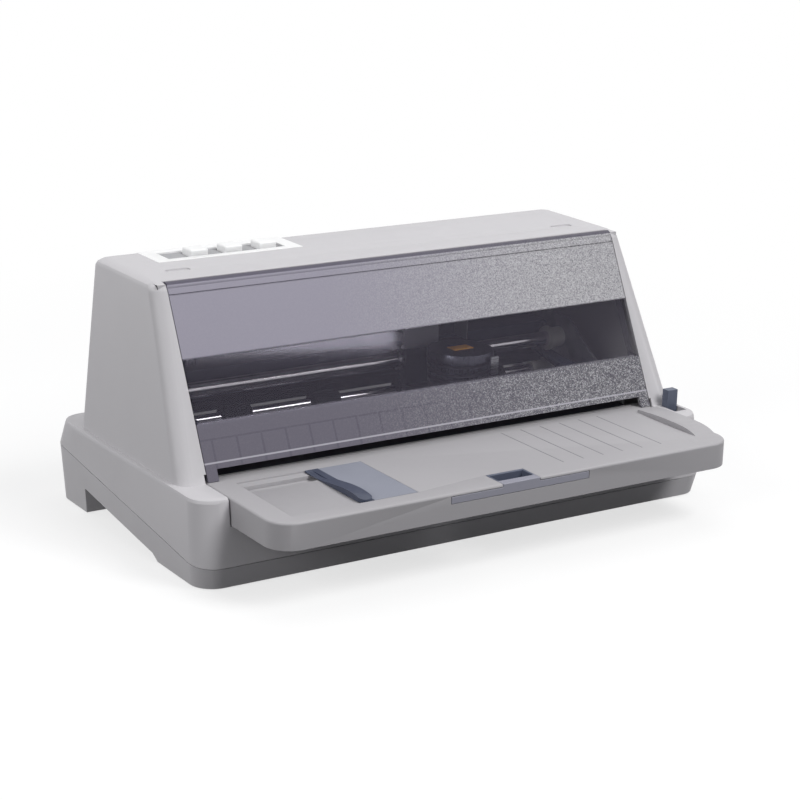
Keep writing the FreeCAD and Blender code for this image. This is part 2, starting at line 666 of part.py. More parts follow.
def lower_case():
    shell = lower_form(0, FOOT_PROUD, 0).cut(arch_form(0))
    hollow = lower_form(SHELL_WALL, FLOOR_TOP, LIP_HEIGHT + OVERRUN).cut(arch_form(SHELL_WALL))
    lip = lower_form(SHELL_WALL / 2, FLOOR_TOP, LIP_HEIGHT)
    lip = lip.cut(arch_form(SHELL_WALL)).cut(lower_form(SHELL_WALL, FLOOR_TOP, LIP_HEIGHT + OVERRUN))
    body = shell.cut(hollow).fuse(lip)
    recess_low = TRAY_BOTTOM - MOVE_GAP - SHELL_WALL
    body = body.cut(box(-TRAY_HALF, TRAY_HALF, FRONT_Y, TRAY_REAR_Y + SHELL_WALL, recess_low, DECK_HEIGHT))
    posts = [bar_z(x, y, FLOOR_TOP - SHELL_WALL / 2, seam_height(y) + SEAM_GAP, BOSS_RADIUS)
             for x, y in screw_places()]
    posts += [bar_z(x, y, FLOOR_TOP - SHELL_WALL / 2, PAN_HEIGHT, BOSS_RADIUS)
              .cut(arch_form(SHELL_WALL / 2)) for x, y in pan_posts()]
    posts += [bar_z(x, y, FLOOR_TOP - SHELL_WALL / 2, BOARD_HEIGHT, POST_RADIUS)
              for x, y in all_board_posts()]
    body = join(body, *posts)
    for x, y in pan_posts():
        body = body.cut(bar_z(x, y, PAN_TOP - SCREW_LENGTH / 2, PAN_HEIGHT, SCREW_RADIUS))
    for x, y in all_board_posts():
        body = body.cut(bar_z(x, y, BOARD_HEIGHT + BOARD_WALL - SCREW_LENGTH / 2, BOARD_HEIGHT, SCREW_RADIUS))
    for x, y in foot_places():
        body = body.cut(bar_z(x, y, 0, FOOT_PROUD + FOOT_SINK, FOOT_RADIUS))
    for x, y in screw_places():
        body = body.cut(bar_z(x, y, 0, FOOT_PROUD + SCREW_HEAD_HEIGHT, SCREW_HEAD_RADIUS))
        body = body.cut(bar_z(x, y, 0, seam_height(y) + OVERRUN, SCREW_RADIUS))
    for hole in socket_holes():
        body = body.cut(hole)
    return body


def hinge_ears():
    ears = []
    inner = COVER_HALF + COVER_SIDE_GAP
    low = HINGE_Z - HINGE_EAR_DROP
    depth = HINGE_EAR_DEPTH / 2
    for side in (1, -1):
        ear = box(side * inner, side * (inner + HINGE_EAR_WALL), HINGE_Y - depth / 2, HINGE_Y + depth,
                  low, CASE_HEIGHT - SHELL_WALL / 2)
        ears.append(ear)
    return ears


def panel_box(grow, bottom, top):
    x0 = PANEL_CENTRE_X - PANEL_WIDTH / 2 - grow
    rear = TOWER_REAR_Y - TOWER_REAR_DRAFT - PANEL_REAR_GAP
    return box(x0, x0 + PANEL_WIDTH + 2 * grow, rear - PANEL_DEPTH - grow, rear + grow, bottom, top)


def panel_opening():
    """Corners of the grey field inside the white frame: x0, x1, y0, y1."""
    x0 = PANEL_CENTRE_X - PANEL_WIDTH / 2 + PANEL_FRAME_SIDE
    x1 = PANEL_CENTRE_X + PANEL_WIDTH / 2 - PANEL_FRAME_SIDE
    rear = TOWER_REAR_Y - TOWER_REAR_DRAFT - PANEL_REAR_GAP
    return x0, x1, rear - PANEL_DEPTH + PANEL_FRAME_FRONT, rear - PANEL_FRAME_REAR


def button_centres():
    front, rear = panel_opening()[2:]
    middle = (BUTTON_COUNT - 1) / 2
    centre = PANEL_CENTRE_X + BUTTON_SHIFT
    return [(centre + (index - middle) * BUTTON_PITCH, (front + rear) / 2) for index in range(BUTTON_COUNT)]


def panel_post_places():
    x0, x1, y0, y1 = panel_opening()
    gap = POST_RADIUS
    return [(x, y) for x in (x0 - gap, x1 + gap) for y in (y0 + gap, y1 - gap)]


def lever_slot_rear():
    return FRONT_Y + LEVER_SLOT_SETBACK + LEVER_SLOT_DEPTH


def lever_pivot():
    y = lever_slot_rear() - MOVE_GAP - LEVER_DEPTH / 2
    return y, DECK_HEIGHT - LEVER_PIVOT_DROP


def lever_lugs():
    """Two lugs that hang under the deck and carry the lever's pin."""
    y, z = lever_pivot()
    lugs = []
    for side in (-1, 1):
        inner = LEVER_X + side * (LEVER_WIDTH / 2 + MOVE_GAP)
        lugs.append(box(inner, inner + side * LEVER_LUG_WALL, y - LEVER_HUB_RADIUS, y + LEVER_HUB_RADIUS,
                        z - LEVER_HUB_RADIUS, DECK_HEIGHT - SHELL_WALL / 2))
    return lugs


def top_slope():
    """Space above the top where it falls a little towards the cover."""
    rear = OPENING_REAR_Y + TOP_SLOPE_RUN
    outline = [(rear, CASE_HEIGHT), (OPENING_REAR_Y, CASE_HEIGHT - TOP_SLOPE_DROP),
               (FRONT_Y, CASE_HEIGHT - TOP_SLOPE_DROP), (FRONT_Y, CASE_HEIGHT + OVERRUN),
               (rear, CASE_HEIGHT + OVERRUN)]
    return slab_x(outline, -HALF_WIDTH, HALF_WIDTH)


def top_dents():
    """Two shallow oval dents in the top, behind the ends of the cover."""
    y = TOWER_FRONT_Y + DENT_SETBACK
    radius = DENT_WIDTH / 2
    low, high = CASE_HEIGHT - DENT_DEPTH, CASE_HEIGHT + OVERRUN
    dents = []
    for side in (-1, 1):
        x0, x1 = (side * DENT_X + shift * (DENT_LENGTH / 2 - radius) for shift in (-1, 1))
        dents.append(join(box(x0, x1, y - radius, y + radius, low, high),
                          bar_z(x0, y, low, high, radius), bar_z(x1, y, low, high, radius)))
    return dents


def upper_case():
    outer = skirt_form(0, 0, SEAM_GAP).fuse(tower_form(0, DECK_HEIGHT - SHELL_WALL / 2))
    outer = outer.cut(recess_form(0))
    hollow = skirt_form(SHELL_WALL, SHELL_WALL, -OVERRUN).cut(recess_form(SHELL_WALL))
    hollow = hollow.fuse(tower_form(SHELL_WALL, DECK_HEIGHT - SHELL_WALL - OVERRUN)
                         .cut(recess_form(SHELL_WALL)))
    body = outer.cut(hollow)
    lip = lower_form(SHELL_WALL / 2 - RUNNING_GAP, FLOOR_TOP, LIP_HEIGHT + SEAM_GAP)
    body = body.cut(lip)
    inner = COVER_HALF + COVER_SIDE_GAP
    body = body.cut(box(-inner, inner, FRONT_Y, OPENING_REAR_Y, DECK_HEIGHT, CASE_HEIGHT + OVERRUN))
    body = body.cut(box(-REAR_SLOT_HALF_WIDTH, REAR_SLOT_HALF_WIDTH, TOWER_REAR_Y - 2 * OVERRUN,
                        TOWER_REAR_Y + OVERRUN, DECK_HEIGHT, DECK_HEIGHT + REAR_SLOT_HEIGHT))
    posts = [bar_z(x, y, CASE_HEIGHT - PANEL_BOARD_DROP - SHELL_WALL, CASE_HEIGHT - SHELL_WALL / 2,
                   POST_RADIUS) for x, y in panel_post_places()]
    bosses = [bar_z(x, y, seam_height(y) + SEAM_GAP, DECK_HEIGHT - SHELL_WALL / 2, BOSS_RADIUS)
              for x, y in screw_places()]
    body = join(body, *hinge_ears(), *posts, *bosses, *lever_lugs())
    body = body.cut(bar_x(-HALF_WIDTH, HALF_WIDTH, HINGE_Y, HINGE_Z, COVER_PIN_RADIUS + RUNNING_GAP)
                    .common(box(-inner - HINGE_EAR_WALL, inner + HINGE_EAR_WALL, FRONT_Y, REAR_Y,
                                0, CASE_HEIGHT)))
    body = body.cut(top_slope())
    for dent in top_dents():
        body = body.cut(dent)
    body = body.cut(panel_box(0, CASE_HEIGHT - PANEL_FRAME_WALL, CASE_HEIGHT + OVERRUN))
    x0, x1, y0, y1 = panel_opening()
    body = body.cut(box(x0, x1, y0, y1, CASE_HEIGHT - SHELL_WALL - OVERRUN, CASE_HEIGHT))
    slot_rear = lever_slot_rear()
    body = body.cut(box(LEVER_X - LEVER_SLOT_WIDTH / 2, LEVER_X + LEVER_SLOT_WIDTH / 2,
                        slot_rear - LEVER_SLOT_DEPTH, slot_rear,
                        DECK_HEIGHT - SHELL_WALL - MOVE_GAP, DECK_HEIGHT + OVERRUN))
    y, z = lever_pivot()
    body = body.cut(bar_x(LEVER_X - LEVER_SLOT_WIDTH, LEVER_X + LEVER_SLOT_WIDTH, y, z,
                          LEVER_PIN_RADIUS + RUNNING_GAP))
    for x, y in screw_places():
        body = body.cut(bar_z(x, y, 0, seam_height(y) + SCREW_LENGTH, SCREW_RADIUS))
    for hole in socket_holes():
        body = body.cut(hole)
    return body


def rubber_feet():
    return [bar_z(x, y, 0, FOOT_PROUD + FOOT_SINK, FOOT_RADIUS) for x, y in foot_places()]


def screw(x, y, seat, length, upward=1):
    """Pan-head screw whose head sits against seat."""
    head = bar_z(x, y, seat, seat - upward * SCREW_HEAD_HEIGHT, SCREW_HEAD_RADIUS)
    return join(head, bar_z(x, y, seat - upward * SCREW_HEAD_HEIGHT / 2, seat + upward * length, SCREW_RADIUS))


def screws():
    """Case screws from below, and the short screws of the pan and the two boards from above."""
    seat = FOOT_PROUD + SCREW_HEAD_HEIGHT
    made = [screw(x, y, seat, seam_height(y) + SCREW_LENGTH / 2 - seat) for x, y in screw_places()]
    made += [screw(x, y, PAN_TOP, SCREW_LENGTH / 2, -1) for x, y in pan_posts()]
    return made + [screw(x, y, BOARD_HEIGHT + BOARD_WALL, SCREW_LENGTH / 2, -1)
                   for x, y in all_board_posts()]


# Front cover

def cover_slab(depth_from, depth_to, z0, z1, x0, x1):
    """Part of a slab parallel to the leaning front, between two depths behind it."""
    near = depth_from / math.cos(COVER_LEAN)
    far = depth_to / math.cos(COVER_LEAN)
    outline = [(cover_plane(z0) + near, z0), (cover_plane(z0) + far, z0),
               (cover_plane(z1) + far, z1), (cover_plane(z1) + near, z1)]
    return slab_x(outline, x0, x1)


def dust_cover():
    low = DECK_HEIGHT + MOVE_GAP
    mouth = DECK_HEIGHT + PAPER_MOUTH_HEIGHT
    sheet = cover_slab(0, COVER_WALL, low, HINGE_Z, -COVER_HALF, COVER_HALF)
    barrel = bar_x(-COVER_HALF, COVER_HALF, HINGE_Y, HINGE_Z, COVER_BARREL_RADIUS)
    leg_inner = COVER_HALF - COVER_LEG_WIDTH
    mouth_cut = box(-leg_inner, leg_inner, FRONT_Y, PRINT_Y, low - OVERRUN, mouth)
    flange_top = HINGE_Z - HINGE_EAR_DROP
    rim = [cover_slab(COVER_WALL / 2, COVER_FLANGE_DEPTH, low, flange_top, side * COVER_HALF,
                      side * (COVER_HALF - COVER_FLANGE_WALL)) for side in (-1, 1)]
    rib_top = DECK_HEIGHT + COVER_RIB_TOP
    middle = (COVER_RIB_COUNT - 1) / 2
    ribs = []
    for index in range(COVER_RIB_COUNT):
        x = (index - middle) * COVER_RIB_PITCH
        ribs.append(cover_slab(COVER_WALL / 2, COVER_RIB_DEPTH, mouth, rib_top,
                               x - COVER_RIB_WALL / 2, x + COVER_RIB_WALL / 2))
    shelf = cover_slab(COVER_WALL / 2, COVER_RIB_DEPTH, rib_top - COVER_RIB_WALL / 2,
                       rib_top + COVER_RIB_WALL / 2, -leg_inner, leg_inner)
    lip = cover_slab(COVER_WALL / 2, COVER_RIB_DEPTH, mouth, mouth + COVER_RIB_WALL, -leg_inner, leg_inner)
    pins = [bar_x(side * (COVER_HALF - COVER_FLANGE_WALL), side * (COVER_HALF + COVER_PIN_LENGTH),
                  HINGE_Y, HINGE_Z, COVER_PIN_RADIUS) for side in (-1, 1)]
    groove_z = CASE_HEIGHT - COVER_GROOVE_DROP
    groove = cover_slab(-OVERRUN, COVER_GROOVE_DEPTH, groove_z - COVER_GROOVE_WIDTH / 2,
                        groove_z + COVER_GROOVE_WIDTH / 2, -COVER_HALF, COVER_HALF)
    return join(sheet.cut(mouth_cut).cut(groove), barrel, *rim, *ribs, shelf, lip, *pins)


# Front tray

def tray_form(inset, low, high):
    """Tray outline with round front corners and square rear corners."""
    half = TRAY_HALF - inset
    front, rear = TRAY_FRONT_Y + inset, TRAY_REAR_Y - inset
    radius = TRAY_CORNER_RADIUS - inset
    body = box(-half, half, front, rear, low, high)
    return soften(body, radius, lambda point, edge: abs(point.x) > half - RUNNING_GAP
                  and point.y < front + RUNNING_GAP and edge.Length < TRAY_DEPTH - inset
                  and abs(edge.Vertexes[0].Z - edge.Vertexes[-1].Z) > RUNNING_GAP)


def pocket_span():
    return TRAY_FRONT_Y + POCKET_FRONT_GAP, TRAY_REAR_Y - POCKET_REAR_GAP


def groove_span():
    rear = TRAY_REAR_Y - GROOVE_SETBACK
    return rear - GROOVE_WIDTH, rear


def notch_rear():
    return TRAY_FRONT_Y + NOTCH_DEPTH


def support_box(grow, front, rear):
    top = DECK_HEIGHT - TRAY_WALL - MOVE_GAP
    return box(-SUPPORT_WIDTH / 2 - grow, SUPPORT_WIDTH / 2 + grow, front, rear,
               top - SUPPORT_THICKNESS - grow, top + grow)


def tray_rails():
    """Runners under the tray top that carry the pull-out support."""
    top = DECK_HEIGHT - TRAY_WALL
    low = top - MOVE_GAP - SUPPORT_THICKNESS - MOVE_GAP
    front, rear = TRAY_FRONT_Y + TRAY_WALL / 2, TRAY_REAR_Y - TRAY_WALL / 2
    rails = []
    for side in (-1, 1):
        wall = side * (SUPPORT_WIDTH / 2 + MOVE_GAP)
        rails.append(box(wall, wall + side * RAIL_WALL, front, rear, low, top + TRAY_WALL / 2))
        rails.append(box(wall + side * RAIL_WALL, wall - side * RAIL_HEIGHT, front, rear,
                         low - RAIL_WALL, low))
    return rails


def front_tray():
    body = tray_form(0, TRAY_BOTTOM, DECK_HEIGHT)
    body = soften(body, TRAY_EDGE_RADIUS, lambda point, edge: point.z > DECK_HEIGHT - RUNNING_GAP
                  and point.y < TRAY_REAR_Y - RUNNING_GAP)
    body = body.cut(tray_form(TRAY_WALL, TRAY_BOTTOM - OVERRUN, DECK_HEIGHT - TRAY_WALL))
    pocket_front, pocket_rear = pocket_span()
    groove_front, groove_rear = groove_span()
    bed = box(-POCKET_LEFT - TRAY_WALL, -POCKET_RIGHT + TRAY_WALL, groove_front - TRAY_WALL,
              groove_rear + TRAY_WALL, DECK_HEIGHT - GROOVE_DEPTH - TRAY_WALL, DECK_HEIGHT)
    under = box(-POCKET_LEFT - TRAY_WALL, -POCKET_RIGHT + TRAY_WALL, pocket_front - TRAY_WALL,
                pocket_rear + TRAY_WALL, DECK_HEIGHT - POCKET_DEPTH - TRAY_WALL, DECK_HEIGHT)
    ribs = []
    reach = int((TRAY_HALF - TRAY_CORNER_RADIUS) / TRAY_RIB_PITCH)
    for index in range(-reach, reach + 1):
        x = index * TRAY_RIB_PITCH
        if abs(x) > SUPPORT_WIDTH / 2 + RAIL_WALL:
            ribs.append(box(x - TRAY_RIB_WALL / 2, x + TRAY_RIB_WALL / 2, TRAY_FRONT_Y + TRAY_WALL / 2,
                            TRAY_REAR_Y - TRAY_WALL / 2, TRAY_BOTTOM + TRAY_THICKNESS / 2,
                            DECK_HEIGHT - TRAY_WALL / 2))
    fence_rear = pocket_rear
    fence_front = fence_rear - FENCE_DEPTH
    fence_crest = [(fence_rear, DECK_HEIGHT + FENCE_REAR_HEIGHT),
                   ((fence_rear + fence_front) / 2 + FENCE_SLOPE_RUN, DECK_HEIGHT + FENCE_HEIGHT),
                   (fence_front + 2 * FENCE_SLOPE_RUN, DECK_HEIGHT + FENCE_HEIGHT),
                   (fence_front + FENCE_SLOPE_RUN, DECK_HEIGHT + (FENCE_HEIGHT + FENCE_REAR_HEIGHT) / 2),
                   (fence_front, DECK_HEIGHT)]
    fence = crest_slab(fence_crest, DECK_HEIGHT - TRAY_WALL / 2, FENCE_INNER, TRAY_HALF - TRAY_EDGE_RADIUS)
    body = join(body, bed, under, *ribs, fence, *tray_rails())
    body = body.cut(box(-POCKET_LEFT, -POCKET_RIGHT, pocket_front, pocket_rear,
                        DECK_HEIGHT - POCKET_DEPTH, DECK_HEIGHT + OVERRUN))
    body = body.cut(box(-POCKET_LEFT, -POCKET_RIGHT, groove_front, groove_rear,
                        DECK_HEIGHT - GROOVE_DEPTH, DECK_HEIGHT + OVERRUN))
    body = body.cut(box(-NOTCH_WIDTH / 2, NOTCH_WIDTH / 2, TRAY_FRONT_Y - OVERRUN, notch_rear(),
                        DECK_HEIGHT - TRAY_WALL - OVERRUN / 2, DECK_HEIGHT + OVERRUN))
    return body.cut(support_box(MOVE_GAP, TRAY_FRONT_Y - OVERRUN, TRAY_REAR_Y - TRAY_WALL))


def edge_guide():
    """Sliding guide: a thin plate flush with the tray and a ridge that the paper's edge runs along."""
    pocket_front, pocket_rear = pocket_span()
    groove_front, groove_rear = groove_span()
    right = -POCKET_RIGHT - MOVE_GAP
    left = GUIDE_RIDGE_X
    front = pocket_front + MOVE_GAP
    bottom = DECK_HEIGHT - POCKET_DEPTH + MOVE_GAP
    rear = pocket_rear - MOVE_GAP
    plate = box(left, right, front, rear, bottom, DECK_HEIGHT)
    ridge = box(left - GUIDE_RIDGE_WIDTH / 2, left + GUIDE_RIDGE_WIDTH / 2, front, rear, bottom,
                DECK_HEIGHT + GUIDE_RIDGE_HEIGHT + OVERRUN)
    ridge = soften(ridge, min(GUIDE_RIDGE_ROUND, GUIDE_RIDGE_WIDTH / 2 - MOVE_GAP),
                   lambda point, edge: point.y < front + RUNNING_GAP
                   and abs(edge.Vertexes[0].Z - edge.Vertexes[-1].Z) > RUNNING_GAP)
    crest = [(rear, DECK_HEIGHT + GUIDE_RIDGE_REAR_HEIGHT),
             ((front + rear) / 2, DECK_HEIGHT + GUIDE_RIDGE_HEIGHT / 2),
             (front + 2 * GUIDE_CREST_RUN, DECK_HEIGHT + GUIDE_RIDGE_HEIGHT),
             (front + GUIDE_CREST_RUN / 2, DECK_HEIGHT + (GUIDE_RIDGE_HEIGHT + GUIDE_RIDGE_NOSE_HEIGHT) / 2),
             (front, DECK_HEIGHT + GUIDE_RIDGE_NOSE_HEIGHT)]
    ridge = ridge.common(crest_slab(crest, bottom, left - GUIDE_RIDGE_WIDTH, left + GUIDE_RIDGE_WIDTH))
    foot = box(left, left + GUIDE_FOOT_WIDTH, groove_front + MOVE_GAP, groove_rear - MOVE_GAP,
               DECK_HEIGHT - GROOVE_DEPTH + MOVE_GAP, DECK_HEIGHT)
    return join(plate, ridge, foot)


def paper_support():
    """Pull-out plate in the tray's front face, with a tab and a finger hole in the notch."""
    plate = support_box(0, TRAY_FRONT_Y, TRAY_FRONT_Y + SUPPORT_DEPTH)
    top = DECK_HEIGHT - TRAY_WALL - MOVE_GAP
    half = NOTCH_WIDTH / 2 - MOVE_GAP
    tab = box(-half, half, TRAY_FRONT_Y, notch_rear() - MOVE_GAP, top - SUPPORT_THICKNESS / 2, DECK_HEIGHT)
    hole_front = TRAY_FRONT_Y + SUPPORT_TAB_DEPTH
    hole = box(-FINGER_HOLE_WIDTH / 2, FINGER_HOLE_WIDTH / 2, hole_front, hole_front + FINGER_HOLE_DEPTH,
               TRAY_BOTTOM, DECK_HEIGHT + OVERRUN)
    return join(plate, tab).cut(hole)


def release_lever():
    y, z = lever_pivot()
    hub = bar_x(LEVER_X - LEVER_WIDTH / 2, LEVER_X + LEVER_WIDTH / 2, y, z, LEVER_HUB_RADIUS)
    arm = box(LEVER_X - LEVER_WIDTH / 2, LEVER_X + LEVER_WIDTH / 2, y - LEVER_DEPTH / 2,
              y + LEVER_DEPTH / 2, z, DECK_HEIGHT + LEVER_PROUD)
    reach = LEVER_WIDTH / 2 + MOVE_GAP + LEVER_LUG_WALL
    trunnions = bar_x(LEVER_X - reach, LEVER_X + reach, y, z, LEVER_PIN_RADIUS)
    return join(hub, arm, trunnions)


# Control panel

def panel_frame():
    frame = panel_box(0, CASE_HEIGHT - PANEL_FRAME_WALL, CASE_HEIGHT + PANEL_FRAME_PROUD)
    x0, x1, y0, y1 = panel_opening()
    return frame.cut(box(x0, x1, y0, y1, CASE_HEIGHT - OVERRUN, CASE_HEIGHT + OVERRUN))


def panel_plate():
    x0, x1, y0, y1 = panel_opening()
    top = CASE_HEIGHT - PANEL_PLATE_DROP
    plate = box(x0, x1, y0, y1, top - PANEL_PLATE_WALL, top)
    for x, y in button_centres():
        plate = plate.cut(box(x - BUTTON_WIDTH / 2 - MOVE_GAP, x + BUTTON_WIDTH / 2 + MOVE_GAP,
                              y - BUTTON_DEPTH / 2 - MOVE_GAP, y + BUTTON_DEPTH / 2 + MOVE_GAP,
                              top - OVERRUN, top + OVERRUN))
    return plate


def panel_board_top():
    return CASE_HEIGHT - SHELL_WALL - PANEL_BOARD_DROP


def button(index):
    x, y = button_centres()[index]
    top = CASE_HEIGHT + BUTTON_PROUD
    cap_low = CASE_HEIGHT - PANEL_PLATE_DROP - PANEL_PLATE_WALL - BUTTON_TRAVEL
    cap = box(x - BUTTON_WIDTH / 2, x + BUTTON_WIDTH / 2, y - BUTTON_DEPTH / 2, y + BUTTON_DEPTH / 2,
              cap_low, top)
    cap = soften(cap, BUTTON_ROUND, lambda point, edge: point.z > CASE_HEIGHT)
    stem_low = panel_board_top() + TACT_HEIGHT + BUTTON_TRAVEL + MOVE_GAP
    return join(cap, bar_z(x, y, stem_low, cap_low + BUTTON_TRAVEL, BUTTON_STEM_RADIUS))


def panel_board():
    x0, x1, y0, y1 = panel_opening()
    top = panel_board_top()
    gap = 2 * POST_RADIUS
    board = box(x0 - gap, x1 + gap, y0, y1, top - BOARD_WALL, top)
    tacts = [box(x - TACT_SIZE / 2, x + TACT_SIZE / 2, y - TACT_SIZE / 2, y + TACT_SIZE / 2,
                 top, top + TACT_HEIGHT) for x, y in button_centres()]
    return join(board, *tacts)


# Frames, plates and paper path

def chassis_pan():
    pan = box(-FRAME_INNER, FRAME_INNER, PAN_FRONT_Y, PAN_REAR_Y, PAN_HEIGHT, PAN_TOP)
    motor_front = pinion_centre()[0] - MOTOR_RADIUS - MOVE_GAP
    for side, rear in ((-1, motor_front), (1, PAN_REAR_Y)):
        pan = pan.fuse(box(side * FRAME_INNER, side * (FRAME_INNER - SHEET_WALL), PAN_FRONT_Y, rear,
                           PAN_TOP, PAN_TOP + PAN_FLANGE_HEIGHT))
    pan = join(pan, box(-FRAME_INNER, FRAME_INNER, PAN_FRONT_Y, PAN_FRONT_Y + SHEET_WALL,
                        PAN_TOP, PAN_TOP + PAN_FLANGE_HEIGHT))
    for x, y in pan_posts():
        pan = pan.cut(bar_z(x, y, PAN_HEIGHT, PAN_TOP, SCREW_RADIUS))
    return pan


def frame_outline():
    return [(PAN_FRONT_Y, PAN_HEIGHT), (PAN_FRONT_Y, FRAME_LOW_FRONT_HEIGHT),
            (PRINT_Y, (FRAME_LOW_FRONT_HEIGHT + FRAME_HEIGHT) / 2),
            (PAN_FRONT_Y + FRAME_TOP_SETBACK, FRAME_HEIGHT), (PAN_REAR_Y, FRAME_HEIGHT),
            (PAN_REAR_Y, PAN_HEIGHT)]


def bush_radius(shaft_radius):
    return shaft_radius + RUNNING_GAP + BUSH_WALL


def side_frame(side):
    frame = slab_x(frame_outline(), side * FRAME_INNER, side * FRAME_OUTER)
    reach = FRAME_OUTER + OVERRUN
    start, end = side * (FRAME_INNER - OVERRUN), side * reach
    frame = frame.cut(bar_x(start, end, ROD_Y, ROD_HEIGHT, ROD_RADIUS))
    frame = frame.cut(bar_x(start, end, PRINT_Y, PLATEN_Z, bush_radius(PLATEN_SHAFT_RADIUS)))
    frame = frame.cut(bar_x(start, end, FEED_Y, FEED_Z, bush_radius(FEED_SHAFT_RADIUS)))
    return frame


def left_side_frame():
    frame = side_frame(-1)
    motor_y, motor_z = pinion_centre()
    idler_y, idler_z = idler_centre()
    frame = frame.cut(bar_x(-FRAME_INNER + OVERRUN, -FRAME_OUTER - OVERRUN, motor_y, motor_z,
                            PINION_SHAFT_RADIUS * 2))
    return frame.cut(bar_x(-FRAME_INNER + OVERRUN, -FRAME_OUTER - OVERRUN, idler_y, idler_z,
                           IDLER_STUD_RADIUS / 2))


def drive_motor_top():
    return BELT_BOTTOM - PULLEY_FLANGE_WALL - MOVE_GAP - BRACKET_WALL - MOVE_GAP


def right_side_frame():
    """Right frame with the belt window and the shelf that the carriage motor hangs from."""
    frame = side_frame(1)
    window = BELT_MID + BELT_WALL + BELT_WINDOW_GAP
    frame = frame.cut(box(FRAME_INNER - OVERRUN, FRAME_OUTER + OVERRUN, BELT_Y - window, BELT_Y + window,
                          BELT_BOTTOM - BELT_WINDOW_GAP, BELT_BOTTOM + BELT_WIDTH + BELT_WINDOW_GAP))
    shelf_low = drive_motor_top()
    reach = DRIVE_PULLEY_X + CARRIAGE_MOTOR_RADIUS - SHELL_WALL
    shelf = box(FRAME_OUTER, reach, BELT_Y - CARRIAGE_MOTOR_RADIUS, BELT_Y + CARRIAGE_MOTOR_RADIUS,
                shelf_low, shelf_low + BRACKET_WALL)
    shelf = shelf.cut(bar_z(DRIVE_PULLEY_X, BELT_Y, shelf_low - OVERRUN, shelf_low + OVERRUN,
                            PINION_SHAFT_RADIUS * 2))
    return join(frame, shelf)


def front_rail():
    """Angle beam that joins the side frames and carries the carriage's front foot."""
    top = box(-FRAME_INNER, FRAME_INNER, RAIL_FRONT_Y, RAIL_FRONT_Y + RAIL_DEPTH,
              RAIL_TOP_HEIGHT - SHEET_WALL, RAIL_TOP_HEIGHT)
    lip = box(-FRAME_INNER, FRAME_INNER, RAIL_FRONT_Y, RAIL_FRONT_Y + SHEET_WALL,
              RAIL_TOP_HEIGHT - SHEET_WALL, RAIL_TOP_HEIGHT + RAIL_LIP)
    return join(top, lip)


def rear_beam():
    """Channel across the back of the side frames, with the post that holds the head cable."""
    top = box(-FRAME_INNER, FRAME_INNER, PAN_REAR_Y - BEAM_DEPTH, PAN_REAR_Y,
              FRAME_HEIGHT - SHEET_WALL, FRAME_HEIGHT)
    back = box(-FRAME_INNER, FRAME_INNER, PAN_REAR_Y - SHEET_WALL, PAN_REAR_Y,
               FRAME_HEIGHT - 2 * BEAM_DEPTH, FRAME_HEIGHT)
    x = cable_fixed_x()
    post = box(x - SHEET_WALL, x, cable_span()[0], PAN_REAR_Y, FRAME_HEIGHT - SHEET_WALL, CABLE_POST_HEIGHT)
    return join(top, back, post)


def guide_plate(y0, y1):
    return box(-FRAME_INNER, FRAME_INNER, y0, y1, PATH_TOP - SHEET_WALL, PATH_TOP)


def front_guide_plate():
    start = TRAY_REAR_Y + TRAY_GAP + SHELL_WALL + MOVE_GAP
    plate = guide_plate(start, PRINT_Y - PLATEN_SLOT_HALF)
    lip = box(-FRAME_INNER, FRAME_INNER, start, start + SHEET_WALL, PATH_TOP - OVERRUN, PATH_TOP)
    return join(plate, lip)


def roller_centres():
    middle = (FEED_ROLLER_COUNT - 1) / 2
    return [(index - middle) * FEED_ROLLER_PITCH for index in range(FEED_ROLLER_COUNT)]


def rear_guide_plate():
    plate = guide_plate(PRINT_Y + PLATEN_SLOT_HALF, TOWER_REAR_Y - TOWER_REAR_DRAFT - SHELL_WALL - MOVE_GAP)
    half = FEED_ROLLER_WIDTH / 2 + ROLLER_WINDOW_GAP
    for x in roller_centres():
        plate = plate.cut(box(x - half, x + half, FEED_Y - ROLLER_WINDOW_HALF, FEED_Y + ROLLER_WINDOW_HALF,
                              PATH_TOP - OVERRUN, PATH_TOP + OVERRUN))
    return plate


def sleeve_x(x0, x1, y, z, outer, inner):
    reach = OVERRUN if x1 > x0 else -OVERRUN
    return bar_x(x0, x1, y, z, outer).cut(bar_x(x0 - reach, x1 + reach, y, z, inner))


def platen_shaft():
    return bar_x(GEAR_END_X, FRAME_OUTER + BUSH_FLANGE_WALL, PRINT_Y, PLATEN_Z, PLATEN_SHAFT_RADIUS)


def platen_roller():
    return sleeve_x(-PLATEN_LENGTH / 2, PLATEN_LENGTH / 2, PRINT_Y, PLATEN_Z, PLATEN_RADIUS,
                    PLATEN_SHAFT_RADIUS)


def feed_shaft():
    return bar_x(GEAR_END_X, FRAME_OUTER + BUSH_FLANGE_WALL, FEED_Y, FEED_Z, FEED_SHAFT_RADIUS)


def feed_rollers():
    half = FEED_ROLLER_WIDTH / 2
    return [sleeve_x(x - half, x + half, FEED_Y, FEED_Z, FEED_ROLLER_RADIUS, FEED_SHAFT_RADIUS)
            for x in roller_centres()]


def pinch_shaft():
    reach = FRAME_INNER - MOVE_GAP
    return bar_x(-reach, reach, FEED_Y, PINCH_Z, PINCH_SHAFT_RADIUS)


def pinch_rollers():
    half = FEED_ROLLER_WIDTH / 2
    return [sleeve_x(x - half, x + half, FEED_Y, PINCH_Z, PINCH_RADIUS, PINCH_SHAFT_RADIUS)
            for x in roller_centres()]


